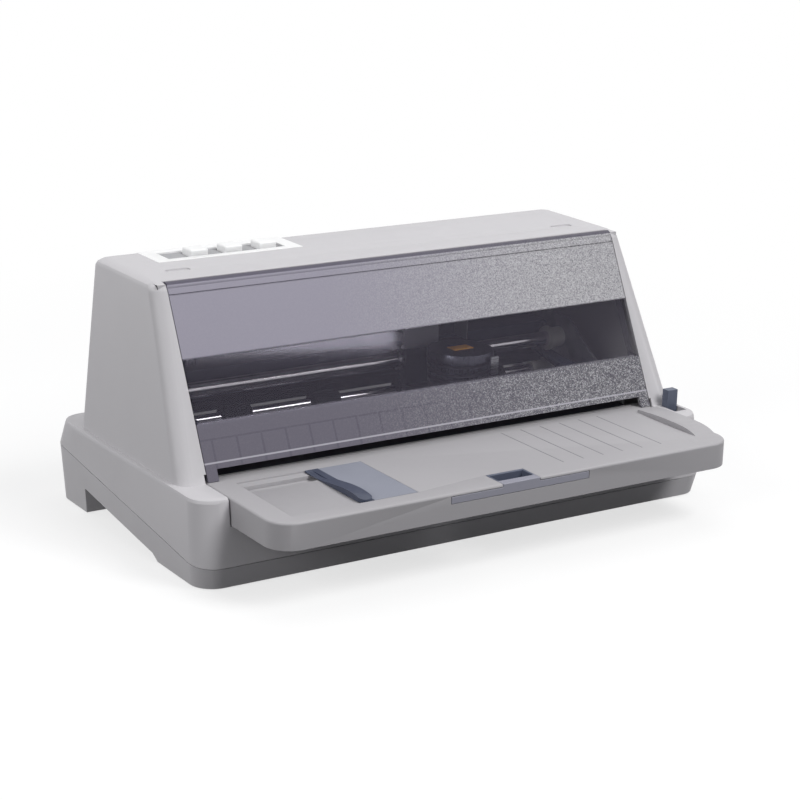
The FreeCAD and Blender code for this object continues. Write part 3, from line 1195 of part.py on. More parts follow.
def pinch_arms():
    """Two arms on the side frames, each with a long bearing for one end of the pinch shaft."""
    arms = []
    half = bush_radius(PINCH_SHAFT_RADIUS)
    for side in (-1, 1):
        outer = side * FRAME_INNER
        inner = side * (FRAME_INNER - PINCH_ARM_WALL)
        arm = box(outer, inner, FEED_Y - half, FEED_Y + PINCH_ARM_REACH, PINCH_Z, PINCH_Z + PINCH_ARM_RISE)
        bearing = bar_x(outer, side * (FRAME_INNER - PINCH_BEARING_LENGTH), FEED_Y, PINCH_Z, half)
        bore = bar_x(side * (FRAME_INNER + OVERRUN), side * (FRAME_INNER - PINCH_BEARING_LENGTH - OVERRUN),
                     FEED_Y, PINCH_Z, PINCH_SHAFT_RADIUS + RUNNING_GAP)
        arms.append(join(arm, bearing).cut(bore))
    return arms


def rod_bush(side):
    """Collar on the rod against the side frame, with a flange at its inner end."""
    outer = ROD_RADIUS + ROD_BUSH_WALL
    end = FRAME_INNER - ROD_BUSH_LENGTH
    tube = sleeve_x(side * end, side * FRAME_INNER, ROD_Y, ROD_HEIGHT, outer, ROD_RADIUS)
    flange = sleeve_x(side * end, side * (end + ROD_BUSH_FLANGE_WALL), ROD_Y, ROD_HEIGHT,
                      outer + ROD_BUSH_FLANGE, ROD_RADIUS)
    return join(tube, flange)


def shaft_bushes():
    """Flanged bushes in the side frames for both driven shafts, and the collars of the rod."""
    bushes = []
    for side in (-1, 1):
        for y, z, radius in ((PRINT_Y, PLATEN_Z, PLATEN_SHAFT_RADIUS), (FEED_Y, FEED_Z, FEED_SHAFT_RADIUS)):
            outer = bush_radius(radius)
            tube = bar_x(side * (FRAME_INNER - BUSH_FLANGE_WALL), side * FRAME_OUTER, y, z, outer)
            flange = bar_x(side * (FRAME_INNER - BUSH_FLANGE_WALL), side * FRAME_INNER, y, z,
                           outer + BUSH_FLANGE)
            bore = bar_x(side * (FRAME_INNER - OVERRUN), side * (FRAME_OUTER + OVERRUN), y, z,
                         radius + RUNNING_GAP)
            bushes.append(join(tube, flange).cut(bore))
        bushes.append(rod_bush(side))
    return bushes


# Gears

def pitch_radius(teeth):
    return teeth * GEAR_MODULE / 2


def idler_centre():
    """The idler meshes with both roller gears, below the line between their shafts."""
    reach = pitch_radius(ROLLER_GEAR_TEETH) + pitch_radius(IDLER_GEAR_TEETH)
    dy, dz = FEED_Y - PRINT_Y, FEED_Z - PLATEN_Z
    span = math.hypot(dy, dz)
    drop = math.sqrt(max(0, reach ** 2 - (span / 2) ** 2))
    return (PRINT_Y + dy / 2 + drop * dz / span, PLATEN_Z + dz / 2 - drop * dy / span)


def pinion_centre():
    reach = pitch_radius(ROLLER_GEAR_TEETH) + pitch_radius(PINION_TEETH)
    angle = math.radians(PINION_DIRECTION_DEGREES)
    return FEED_Y + reach * math.cos(angle), FEED_Z + reach * math.sin(angle)


def involute(angle):
    return math.tan(angle) - angle


def gear_outline(teeth, phase, cy, cz):
    """Closed outline of an involute gear; phase is the direction of one tooth."""
    pitch = pitch_radius(teeth)
    pressure = math.radians(PRESSURE_ANGLE_DEGREES)
    base = pitch * math.cos(pressure)
    root = pitch - GEAR_MODULE * GEAR_DEDENDUM_SHARE
    tip = pitch + GEAR_MODULE * GEAR_ADDENDUM_SHARE
    half_at_pitch = math.pi / (2 * teeth) - GEAR_BACKLASH / (2 * pitch)

    def half_angle(radius):
        spread = involute(math.acos(min(1, base / radius)))
        return half_at_pitch + involute(pressure) - spread

    start = max(base, root)
    flank = [(radius, half_angle(radius))
             for radius in (start, (start + pitch) / 2, pitch, (pitch + tip) / 2, tip)]
    if start > root:
        flank = [(root, half_angle(start))] + flank
    points = []
    for tooth in range(teeth):
        middle = phase + 2 * math.pi * tooth / teeth
        sides = [(radius, middle - half) for radius, half in flank]
        sides += [(radius, middle + half) for radius, half in reversed(flank)]
        points += [(cy + radius * math.cos(angle), cz + radius * math.sin(angle)) for radius, angle in sides]
    return points


def meshed_phase(from_centre, from_teeth, from_phase, to_centre, to_teeth):
    """Phase of the second gear that puts its gap on the first gear's tooth."""
    towards = math.atan2(to_centre[1] - from_centre[1], to_centre[0] - from_centre[0])
    back = towards + math.pi
    first = from_teeth * (towards - from_phase)
    return back - (math.pi - first) / to_teeth


def gear(teeth, phase, centre, bore):
    wheel = slab_x(gear_outline(teeth, phase, *centre), GEAR_END_X, GEAR_X)
    return wheel.cut(bar_x(GEAR_END_X - OVERRUN, GEAR_X + OVERRUN, centre[0], centre[1], bore))


def idler_phase():
    return meshed_phase((PRINT_Y, PLATEN_Z), ROLLER_GEAR_TEETH, 0, idler_centre(), IDLER_GEAR_TEETH)


def feed_phase():
    return meshed_phase(idler_centre(), IDLER_GEAR_TEETH, idler_phase(), (FEED_Y, FEED_Z),
                        ROLLER_GEAR_TEETH)


def platen_gear():
    return gear(ROLLER_GEAR_TEETH, 0, (PRINT_Y, PLATEN_Z), PLATEN_SHAFT_RADIUS)


def idler_gear():
    return gear(IDLER_GEAR_TEETH, idler_phase(), idler_centre(), IDLER_STUD_RADIUS + RUNNING_GAP)


def feed_gear():
    return gear(ROLLER_GEAR_TEETH, feed_phase(), (FEED_Y, FEED_Z), FEED_SHAFT_RADIUS)


def feed_pinion():
    """Motor pinion with the rotor shaft that reaches into the motor."""
    centre = pinion_centre()
    phase = meshed_phase((FEED_Y, FEED_Z), ROLLER_GEAR_TEETH, feed_phase(), centre, PINION_TEETH)
    wheel = slab_x(gear_outline(PINION_TEETH, phase, *centre), GEAR_END_X, GEAR_X)
    shaft = bar_x(GEAR_END_X, -FRAME_INNER + MOTOR_BORE_DEPTH, centre[0], centre[1], PINION_SHAFT_RADIUS)
    return join(wheel, shaft)


def idler_stud():
    y, z = idler_centre()
    pin = bar_x(-FRAME_OUTER, GEAR_END_X - MOVE_GAP - STUD_HEAD, y, z, IDLER_STUD_RADIUS)
    root = bar_x(-FRAME_INNER, -FRAME_OUTER, y, z, IDLER_STUD_RADIUS / 2)
    head = bar_x(GEAR_END_X - MOVE_GAP, GEAR_END_X - MOVE_GAP - STUD_HEAD, y, z, IDLER_STUD_RADIUS * 2)
    collar = bar_x(-FRAME_OUTER, GEAR_X + MOVE_GAP, y, z, IDLER_STUD_RADIUS * 2)
    return join(pin, root, head, collar)


def feed_motor():
    y, z = pinion_centre()
    can = bar_x(-FRAME_INNER, -FRAME_INNER + MOTOR_LENGTH, y, z, MOTOR_RADIUS)
    ears = box(-FRAME_INNER, -FRAME_INNER + MOTOR_FLANGE_WALL, y - MOTOR_RADIUS / 2,
               y + MOTOR_RADIUS + MOTOR_EAR_REACH, z - MOTOR_RADIUS / 2, z + MOTOR_RADIUS / 2)
    bore = bar_x(-FRAME_INNER - OVERRUN, -FRAME_INNER + MOTOR_BORE_DEPTH + MOVE_GAP, y, z,
                 PINION_SHAFT_RADIUS + RUNNING_GAP)
    return join(can, ears).cut(bore)


# Carriage drive

def carriage_rod():
    reach = FRAME_OUTER + ROD_END
    return bar_x(-reach, reach, ROD_Y, ROD_HEIGHT, ROD_RADIUS)


def rod_clips():
    """Snap rings outside the frames that stop the rod from moving."""
    clips = []
    for side in (-1, 1):
        ring_part = sleeve_x(side * FRAME_OUTER, side * (FRAME_OUTER + CLIP_WALL), ROD_Y, ROD_HEIGHT,
                             ROD_RADIUS + CLIP_REACH, ROD_RADIUS)
        mouth = box(side * FRAME_OUTER, side * (FRAME_OUTER + CLIP_WALL), ROD_Y - ROD_RADIUS / 2,
                    ROD_Y + ROD_RADIUS / 2, ROD_HEIGHT - ROD_RADIUS - 2 * CLIP_REACH, ROD_HEIGHT)
        clips.append(ring_part.cut(mouth.cut(bar_x(side * FRAME_OUTER, side * (FRAME_OUTER + CLIP_WALL),
                                                   ROD_Y, ROD_HEIGHT, ROD_RADIUS))))
    return clips


def belt_loop(radius, z0, z1):
    """Solid oval around both pulleys."""
    left = bar_z(IDLER_PULLEY_X, BELT_Y, z0, z1, radius)
    right = bar_z(DRIVE_PULLEY_X, BELT_Y, z0, z1, radius)
    return join(left, right, box(IDLER_PULLEY_X, DRIVE_PULLEY_X, BELT_Y - radius, BELT_Y + radius, z0, z1))


def timing_belt():
    top = BELT_BOTTOM + BELT_WIDTH
    return belt_loop(BELT_MID + BELT_WALL, BELT_BOTTOM, top).cut(
        belt_loop(BELT_MID, BELT_BOTTOM - OVERRUN, top + OVERRUN))


def pulley(x, bore):
    top = BELT_BOTTOM + BELT_WIDTH
    drum = bar_z(x, BELT_Y, BELT_BOTTOM - MOVE_GAP, top + MOVE_GAP, PULLEY_RADIUS)
    flanges = [bar_z(x, BELT_Y, z, z + PULLEY_FLANGE_WALL, PULLEY_RADIUS + PULLEY_FLANGE)
               for z in (BELT_BOTTOM - MOVE_GAP - PULLEY_FLANGE_WALL, top + MOVE_GAP)]
    whole = join(drum, *flanges)
    if bore:
        whole = whole.cut(bar_z(x, BELT_Y, BELT_BOTTOM - OVERRUN, top + OVERRUN, bore))
    return whole


def drive_pulley():
    motor_top = drive_motor_top()
    shaft = bar_z(DRIVE_PULLEY_X, BELT_Y, motor_top - MOTOR_BORE_DEPTH, BELT_BOTTOM + BELT_WIDTH,
                  PINION_SHAFT_RADIUS)
    return join(pulley(DRIVE_PULLEY_X, 0), shaft)


def idler_pulley():
    return pulley(IDLER_PULLEY_X, IDLER_PIN_RADIUS + RUNNING_GAP)


def idler_bracket():
    """Fork on the left frame with the pin of the idler pulley."""
    low = BELT_BOTTOM - 2 * MOVE_GAP - PULLEY_FLANGE_WALL
    high = BELT_BOTTOM + BELT_WIDTH + 2 * MOVE_GAP + PULLEY_FLANGE_WALL
    reach = IDLER_PULLEY_X + PULLEY_RADIUS
    half = PULLEY_RADIUS
    plates = [box(-FRAME_INNER, reach, BELT_Y - half, BELT_Y + half, z, z + BRACKET_WALL)
              for z in (low - BRACKET_WALL, high)]
    web = box(-FRAME_INNER, -FRAME_INNER + BRACKET_WALL, BELT_Y - half, BELT_Y + half, low - BRACKET_WALL,
              high + BRACKET_WALL)
    pin = bar_z(IDLER_PULLEY_X, BELT_Y, low - BRACKET_WALL, high + BRACKET_WALL, IDLER_PIN_RADIUS)
    return join(*plates, web, pin)


def carriage_motor():
    top = drive_motor_top()
    can = bar_z(DRIVE_PULLEY_X, BELT_Y, top - MOTOR_LENGTH, top, CARRIAGE_MOTOR_RADIUS)
    bore = bar_z(DRIVE_PULLEY_X, BELT_Y, top - MOTOR_BORE_DEPTH - MOVE_GAP, top + OVERRUN,
                 PINION_SHAFT_RADIUS + RUNNING_GAP)
    return can.cut(bore)


# Carriage and print head

def carriage():
    x0, x1 = HEAD_REST_X - CARRIAGE_HALF_WIDTH, HEAD_REST_X + CARRIAGE_HALF_WIDTH
    platform_top = PLATFORM_HEIGHT + PLATFORM_WALL
    platform_rear = FEED_Y - PINCH_RADIUS - MOVE_GAP - RUNNING_GAP
    foot_top_y = RAIL_FRONT_Y + SHEET_WALL + MOVE_GAP
    platform = box(x0, x1, foot_top_y, platform_rear, PLATFORM_HEIGHT, platform_top)
    foot = box(x0, x1, foot_top_y, RAIL_FRONT_Y + RAIL_DEPTH, RAIL_TOP_HEIGHT + MOVE_GAP, platform_top)
    sleeve = box(x0, x1, ROD_Y - SLEEVE_HALF, ROD_Y + SLEEVE_HALF, ROD_HEIGHT - SLEEVE_HALF,
                 ROD_HEIGHT + SLEEVE_HALF)
    sleeve = soften(sleeve, SLEEVE_HALF / 2, lambda point, edge: abs(point.x - HEAD_REST_X) < RUNNING_GAP
                    and edge.Length > CARRIAGE_HALF_WIDTH)
    neck = box(x0, x1, ROD_Y - SLEEVE_HALF, platform_rear, PLATFORM_HEIGHT, ROD_HEIGHT)
    tongue_low = CARTRIDGE_BOTTOM - MOVE_GAP - TONGUE_WALL
    belt_near = BELT_Y - BELT_MID - BELT_WALL
    clamp_rear = BELT_Y - BELT_MID + MOVE_GAP + CLAMP_WALL / 2
    tongue = box(HEAD_REST_X - CLAMP_HALF_WIDTH, HEAD_REST_X + CLAMP_HALF_WIDTH, ROD_Y - SLEEVE_HALF,
                 clamp_rear, tongue_low, tongue_low + TONGUE_WALL)
    clamp = box(HEAD_REST_X - CLAMP_HALF_WIDTH, HEAD_REST_X + CLAMP_HALF_WIDTH,
                belt_near - MOVE_GAP - CLAMP_WALL / 2, clamp_rear, BELT_BOTTOM, tongue_low + TONGUE_WALL)
    body = join(platform, foot, sleeve, neck, tongue, clamp)
    body = body.cut(box(x0, x1, belt_near - MOVE_GAP, BELT_Y - BELT_MID + MOVE_GAP, BELT_BOTTOM - OVERRUN,
                        BELT_BOTTOM + BELT_WIDTH + MOVE_GAP))
    body = body.cut(bar_x(x0 - OVERRUN, x1 + OVERRUN, ROD_Y, ROD_HEIGHT, ROD_RADIUS + RUNNING_GAP))
    return body.cut(bar_z(HEAD_REST_X, PRINT_Y, PLATFORM_HEIGHT - OVERRUN, platform_top + OVERRUN,
                          HEAD_NECK_RADIUS))


def print_head():
    """Finned round body of the head: a core with rings that narrow a little towards the bottom."""
    pitch = (SINK_TOP_HEIGHT - SINK_BASE_HEIGHT) / SINK_FIN_COUNT
    outline = [(0, PLATFORM_HEIGHT), (HEAD_NECK_RADIUS, PLATFORM_HEIGHT),
               (HEAD_NECK_RADIUS, SINK_BASE_HEIGHT)]
    for index in range(SINK_FIN_COUNT):
        low = SINK_BASE_HEIGHT + index * pitch
        radius = SINK_RADIUS - (SINK_FIN_COUNT - 1 - index) * SINK_STEP * SINK_FIN_SHARE
        outline += [(radius, low), (radius, low + pitch * SINK_FIN_SHARE)]
        if index < SINK_FIN_COUNT - 1:
            outline += [(SINK_CORE_RADIUS, low + pitch * SINK_FIN_SHARE), (SINK_CORE_RADIUS, low + pitch)]
    last = outline[-1]
    outline += [(last[0] - SINK_STEP, SINK_TOP_HEIGHT), (0, SINK_TOP_HEIGHT)]
    points = [FreeCAD.Vector(HEAD_REST_X + r, PRINT_Y, z) for r, z in outline + outline[:1]]
    face = Part.Face(Part.makePolygon(points))
    axis = FreeCAD.Vector(HEAD_REST_X, PRINT_Y, 0)
    return face.revolve(axis, FreeCAD.Vector(0, 0, 1), 360)


def head_nose():
    """Wedge that carries the pins down to the ribbon."""
    def level(half_x, half_y, z):
        corners = [(-half_x, -half_y), (half_x, -half_y), (half_x, half_y), (-half_x, half_y)]
        points = [FreeCAD.Vector(HEAD_REST_X + x, PRINT_Y + y, z) for x, y in corners + corners[:1]]
        return Part.makePolygon(points)
    wedge = Part.makeLoft([level(NOSE_HALF_WIDTH, NOSE_HALF_DEPTH, NOSE_HEIGHT + NOSE_HALF_DEPTH),
                           level(NOSE_TOP_HALF_WIDTH, NOSE_TOP_HALF_DEPTH, PLATFORM_HEIGHT)], True, True)
    tip = Part.makeLoft([level(NOSE_HALF_WIDTH / 2, NOSE_HALF_DEPTH / 2, NOSE_HEIGHT),
                         level(NOSE_HALF_WIDTH, NOSE_HALF_DEPTH, NOSE_HEIGHT + NOSE_HALF_DEPTH)], True, True)
    return join(wedge, tip)


def head_tape():
    return box(HEAD_REST_X - TAPE_WIDTH / 2, HEAD_REST_X + TAPE_WIDTH / 2, PRINT_Y - TAPE_DEPTH / 2,
               PRINT_Y + TAPE_DEPTH / 2, SINK_TOP_HEIGHT, SINK_TOP_HEIGHT + TAPE_WALL)


def head_clip():
    """Spring clip at the front right of the head that holds it on the carriage."""
    x = HEAD_REST_X + SINK_RADIUS / 2
    y = PRINT_Y - SINK_RADIUS
    half = HEAD_CLIP_WIDTH / 2
    wall = HEAD_CLIP_WALL
    upright = box(x - half, x + half, y - wall, y, PLATFORM_HEIGHT + PLATFORM_WALL, SINK_TOP_HEIGHT - wall)
    foot = box(x - half, x + half, y - wall, y + 2 * wall, PLATFORM_HEIGHT + PLATFORM_WALL,
               PLATFORM_HEIGHT + PLATFORM_WALL + wall)
    return join(upright.cut(bar_z(HEAD_REST_X, PRINT_Y, 0, CASE_HEIGHT, SINK_RADIUS)),
                foot.cut(bar_z(HEAD_REST_X, PRINT_Y, SINK_BASE_HEIGHT - MOVE_GAP, CASE_HEIGHT, SINK_RADIUS)))


def head_board():
    """Small connector board that stands on the carriage behind the head."""
    y = ROD_Y - SLEEVE_HALF + BOARD_WALL
    x = HEAD_REST_X - CARRIAGE_HALF_WIDTH / 2
    return box(x - HEAD_BOARD_WIDTH / 2, x + HEAD_BOARD_WIDTH / 2, y, y + BOARD_WALL,
               ROD_HEIGHT + SLEEVE_HALF, HEAD_BOARD_TOP).fuse(
        box(x - HEAD_BOARD_WIDTH / 2, x + HEAD_BOARD_WIDTH / 2, y, y + HEAD_BOARD_FOOT_DEPTH,
            ROD_HEIGHT + SLEEVE_HALF, ROD_HEIGHT + SLEEVE_HALF + BOARD_WALL)).removeSplitter()


def cable_moving_x():
    return HEAD_REST_X + CARRIAGE_HALF_WIDTH - CABLE_WALL


def cable_fixed_x():
    return cable_moving_x() - CABLE_LEG_SPACING


def cable_span():
    """The cable lies between the small board and the lid of the cartridge."""
    rear = CARTRIDGE_FRONT_Y - CARTRIDGE_LID_LAP - CABLE_LID_GAP
    return rear - CABLE_WIDTH, rear


def head_cable():
    """Flat cable that arches from the post on the rear beam over to the carriage."""
    radius = CABLE_LEG_SPACING / 2
    x0, x1 = cable_fixed_x(), cable_moving_x()
    top = CABLE_TOP - radius
    low = ROD_HEIGHT + SLEEVE_HALF
    y0, y1 = cable_span()
    mid = (x0 + x1) / 2
    arch = bar_y(mid, y0, y1, top, radius).cut(bar_y(mid, y0 - OVERRUN, y1 + OVERRUN, top,
                                                     radius - CABLE_WALL))
    arch = arch.cut(box(x0 - OVERRUN, x1 + OVERRUN, y0 - OVERRUN, y1 + OVERRUN, top - 2 * radius, top))
    legs = [box(x0, x0 + CABLE_WALL, y0, y1, FRAME_HEIGHT, top), box(x1 - CABLE_WALL, x1, y0, y1, low, top)]
    return join(arch, *legs)


# Ribbon cartridge

def ribbon_cartridge():
    """Tub with a lid and two arms that carry the ribbon forward to the print line."""
    half = CARTRIDGE_HALF_WIDTH
    front, rear = CARTRIDGE_FRONT_Y, CARTRIDGE_REAR_Y
    wall = CARTRIDGE_WALL
    tub = box(-half, half, front, rear, CARTRIDGE_BOTTOM, CARTRIDGE_TOP - CARTRIDGE_LID_WALL)
    hollow = box(-half + wall, half - wall, front + wall, rear - wall, CARTRIDGE_BOTTOM + wall, CARTRIDGE_TOP)
    lap = CARTRIDGE_LID_LAP
    lid = box(-half - lap, half + lap, front - lap, rear + lap, CARTRIDGE_TOP - CARTRIDGE_LID_WALL,
              CARTRIDGE_TOP)
    arms = []
    for side in (-1, 1):
        outline = [(front + wall, CARTRIDGE_BOTTOM), (front + wall, CARTRIDGE_TOP - CARTRIDGE_LID_WALL - lap),
                   (front, CARTRIDGE_BOTTOM + lap), (PRINT_Y + ARM_TIP_GAP, ARM_TOP_HEIGHT),
                   (PRINT_Y - ARM_TIP_GAP, ARM_TOP_HEIGHT - ARM_TIP_GAP), (PRINT_Y - ARM_TIP_GAP, ARM_TIP_HEIGHT),
                   (PRINT_Y + ARM_TIP_GAP, ARM_TIP_HEIGHT), (PRINT_Y + 2 * ARM_TIP_GAP, ARM_NECK_BOTTOM)]
        arms.append(slab_x(outline, side * ARM_INNER, side * half))
    body = join(tub.cut(hollow), lid, *arms)
    x = -half + KNOB_INSET
    y = (front + rear) / 2
    return body.cut(bar_z(x, y, CARTRIDGE_TOP - 2 * CARTRIDGE_LID_WALL, CARTRIDGE_TOP + OVERRUN,
                          KNOB_SHAFT_RADIUS + RUNNING_GAP))


def ribbon():
    """Inked band that lies flat over the print line and climbs to both arms."""
    wall = RIBBON_WALL
    low = RIBBON_HEIGHT
    high = RIBBON_HEIGHT + RIBBON_CLIMB
    edge = ARM_INNER
    upper = [(-edge, high), (-RIBBON_FLAT_HALF, low + wall), (RIBBON_FLAT_HALF, low + wall), (edge, high)]
    lower = [(x, z - wall) for x, z in reversed(upper)]
    return slab_y(upper + lower, PRINT_Y - RIBBON_WIDTH / 2, PRINT_Y + RIBBON_WIDTH / 2)


def ribbon_knob():
    x = -CARTRIDGE_HALF_WIDTH + KNOB_INSET
    y = (CARTRIDGE_FRONT_Y + CARTRIDGE_REAR_Y) / 2
    low = CARTRIDGE_TOP + MOVE_GAP
    knob = bar_z(x, y, low, low + KNOB_HEIGHT, KNOB_RADIUS)
    for index in range(KNOB_GRIPS):
        angle = 2 * math.pi * index / KNOB_GRIPS
        knob = knob.cut(bar_z(x + KNOB_RADIUS * math.cos(angle), y + KNOB_RADIUS * math.sin(angle),
                              low - OVERRUN, low + OVERRUN + KNOB_HEIGHT, KNOB_GRIP_RADIUS))
    return join(knob, bar_z(x, y, CARTRIDGE_TOP - CARTRIDGE_LID_WALL, low, KNOB_SHAFT_RADIUS))


# Electronics and sockets

def drilled(board, places):
    for x, y in places:
        board = board.cut(bar_z(x, y, BOARD_HEIGHT, BOARD_HEIGHT + BOARD_WALL, SCREW_RADIUS))
    return board


def main_board():
    board = box(MAIN_BOARD_LEFT, MAIN_BOARD_RIGHT, BOARD_FRONT_Y, BOARD_REAR_Y, BOARD_HEIGHT,
                BOARD_HEIGHT + BOARD_WALL)
    top = BOARD_HEIGHT + BOARD_WALL
    chips = []
    x = MAIN_BOARD_LEFT + CHIP_SIZE
    while x + CHIP_SIZE < MAIN_BOARD_RIGHT:
        chips.append(box(x, x + CHIP_SIZE, BOARD_FRONT_Y + SHELL_WALL, BOARD_FRONT_Y + SHELL_WALL + CHIP_SIZE / 2,
                         top, top + CHIP_HEIGHT))
        x += CHIP_PITCH
    return drilled(join(board, *chips), board_posts(MAIN_BOARD_LEFT, MAIN_BOARD_RIGHT))


def power_supply():
    top = BOARD_HEIGHT + BOARD_WALL
    board = box(SUPPLY_LEFT, SUPPLY_RIGHT, BOARD_FRONT_Y, BOARD_REAR_Y, BOARD_HEIGHT, top)
    y = BOARD_FRONT_Y + SHELL_WALL
    margin = POST_RADIUS + SHELL_WALL + SCREW_HEAD_RADIUS + MOVE_GAP
    core = box(SUPPLY_LEFT + margin, SUPPLY_LEFT + margin + TRANSFORMER_WIDTH, y,
               y + TRANSFORMER_DEPTH, top, top + TRANSFORMER_HEIGHT)
    heat = box(SUPPLY_LEFT + TRANSFORMER_WIDTH + margin + SHELL_WALL, SUPPLY_RIGHT - margin, y,
               y + SINK_PLATE_WALL, top, top + SINK_PLATE_HEIGHT)
    cans = [bar_z(SUPPLY_RIGHT - CAPACITOR_RADIUS - margin - index * CAPACITOR_RADIUS * 3,
                  y + SINK_PLATE_WALL + CAPACITOR_RADIUS + SHELL_WALL / 2, top, top + CAPACITOR_HEIGHT / 2,
                  CAPACITOR_RADIUS) for index in range(2)]
    return drilled(join(board, core, heat, *cans), board_posts(SUPPLY_LEFT, SUPPLY_RIGHT))


def socket(x, width, height, depth, hollow_depth):
    """Open-fronted socket whose mouth is just behind the rear wall's outer face."""
    face = REAR_Y - FLOOR_DRAFT - SOCKET_INSET / 2
    z0, z1 = SOCKET_BOTTOM, SOCKET_BOTTOM + height
    shell = box(x - width / 2, x + width / 2, face - depth, face, z0, z1)
    mouth = box(x - width / 2 + SOCKET_RIM, x + width / 2 - SOCKET_RIM, face - hollow_depth, face + OVERRUN,
                z0 + SOCKET_RIM, z1 - SOCKET_RIM)
    return shell.cut(mouth)


def parallel_port():
    body = socket(PARALLEL_X, PARALLEL_WIDTH, PARALLEL_HEIGHT, SOCKET_DEPTH, SOCKET_DEPTH / 2)
    face = REAR_Y - FLOOR_DRAFT - SOCKET_INSET / 2
    mid = SOCKET_BOTTOM + PARALLEL_HEIGHT / 2
    blade = box(PARALLEL_X - PARALLEL_WIDTH / 2 + 3 * SOCKET_RIM, PARALLEL_X + PARALLEL_WIDTH / 2 - 3 * SOCKET_RIM,
                face - SOCKET_DEPTH / 2 - SOCKET_RIM, face - SOCKET_RIM, mid - SOCKET_RIM, mid + SOCKET_RIM)
    return join(body, blade)


def usb_port():
    return socket(USB_X, USB_WIDTH, USB_HEIGHT, SOCKET_DEPTH, USB_MOUTH_DEPTH)


def power_inlet():
    body = socket(INLET_X, INLET_WIDTH, INLET_HEIGHT, SOCKET_DEPTH, SOCKET_DEPTH - SOCKET_RIM)
    face = REAR_Y - FLOOR_DRAFT - SOCKET_INSET / 2
    mid = SOCKET_BOTTOM + INLET_HEIGHT / 2
    pins = [bar_y(INLET_X + shift * INLET_PIN_SPREAD, face - SOCKET_DEPTH, face - 2 * SOCKET_RIM, mid,
                  INLET_PIN_RADIUS) for shift in (-1, 0, 1)]
    return join(body, *pins)


def rocker_centre():
    face = REAR_Y - FLOOR_DRAFT - SOCKET_INSET / 2
    return face - ROCKER_HEIGHT, SOCKET_BOTTOM + SWITCH_HEIGHT / 2


def power_switch():
    body = socket(SWITCH_X, SWITCH_WIDTH, SWITCH_HEIGHT, SOCKET_DEPTH, SOCKET_DEPTH - SOCKET_RIM)
    y, z = rocker_centre()
    return body.cut(bar_x(SWITCH_X - SWITCH_WIDTH / 2, SWITCH_X + SWITCH_WIDTH / 2, y, z,
                          ROCKER_PIN_RADIUS + RUNNING_GAP))


def power_rocker():
    """Two-faced rocker, stored with its top pressed in."""
    y, z = rocker_centre()
    half = SWITCH_HEIGHT / 2 - SOCKET_RIM - 3 * MOVE_GAP
    rise = half * math.tan(math.radians(ROCKER_TILT_DEGREES))
    face = y + ROCKER_HEIGHT - rise - MOVE_GAP
    outline = [(y - ROCKER_HEIGHT / 2, z - half), (face + rise, z - half), (face, z), (face + rise, z + half),
               (y - ROCKER_HEIGHT / 2, z + half)]
    x0 = SWITCH_X - SWITCH_WIDTH / 2 + SOCKET_RIM + MOVE_GAP
    x1 = SWITCH_X + SWITCH_WIDTH / 2 - SOCKET_RIM - MOVE_GAP
    paddle = slab_x(outline, x0, x1)
    pin = bar_x(SWITCH_X - SWITCH_WIDTH / 2, SWITCH_X + SWITCH_WIDTH / 2, y, z, ROCKER_PIN_RADIUS)
    rocker = join(paddle, pin)
    rocker.rotate(FreeCAD.Vector(SWITCH_X, y, z), FreeCAD.Vector(1, 0, 0), ROCKER_TILT_DEGREES)
    return rocker


def nodes():
    makers = [
        lower_case, upper_case, rubber_feet, screws, dust_cover, front_tray, edge_guide, paper_support,
        release_lever, panel_frame, panel_plate, panel_board, chassis_pan, left_side_frame,
        right_side_frame, front_rail, rear_beam, front_guide_plate, rear_guide_plate, platen_shaft,
        platen_roller, platen_gear, feed_shaft, feed_rollers, feed_gear, idler_gear, idler_stud, feed_pinion,
        feed_motor, pinch_shaft, pinch_rollers, pinch_arms, shaft_bushes, carriage_rod, rod_clips,
        timing_belt, drive_pulley, idler_pulley, idler_bracket, carriage_motor, carriage, print_head,
        head_nose, head_tape, head_clip, head_board, head_cable, ribbon_cartridge, ribbon, ribbon_knob,
        main_board, power_supply, parallel_port, usb_port, power_inlet, power_switch, power_rocker,
    ]
    parts = {maker.__name__: maker for maker in makers}
    for index, name in enumerate(("eject_button", "feed_button", "pause_button")):
        parts[name] = lambda index=index: button(index)
    return parts


def main():
    os.makedirs("parts", exist_ok=True)
    for name, maker in nodes().items():
        made = maker()
        shape = Part.makeCompound(made) if isinstance(made, list) else made
        shape.exportStep(os.path.join("parts", name + ".step"))
        print(name, len(shape.Solids), "valid" if shape.isValid() else "INVALID", round(shape.Volume))


main()
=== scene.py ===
"""Looks of a flatbed dot matrix printer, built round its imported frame.

Every length is in metres, in the frame's own axes: X to the right seen from the front, Y towards
the back, Z up. Sizes and places are read from the frame, or are fields of the class that uses them.
"""

import json
import logging
import math
from dataclasses import dataclass
from enum import Enum
from typing import Iterable, Sequence

import bmesh
import bpy
from mathutils import Matrix, Vector

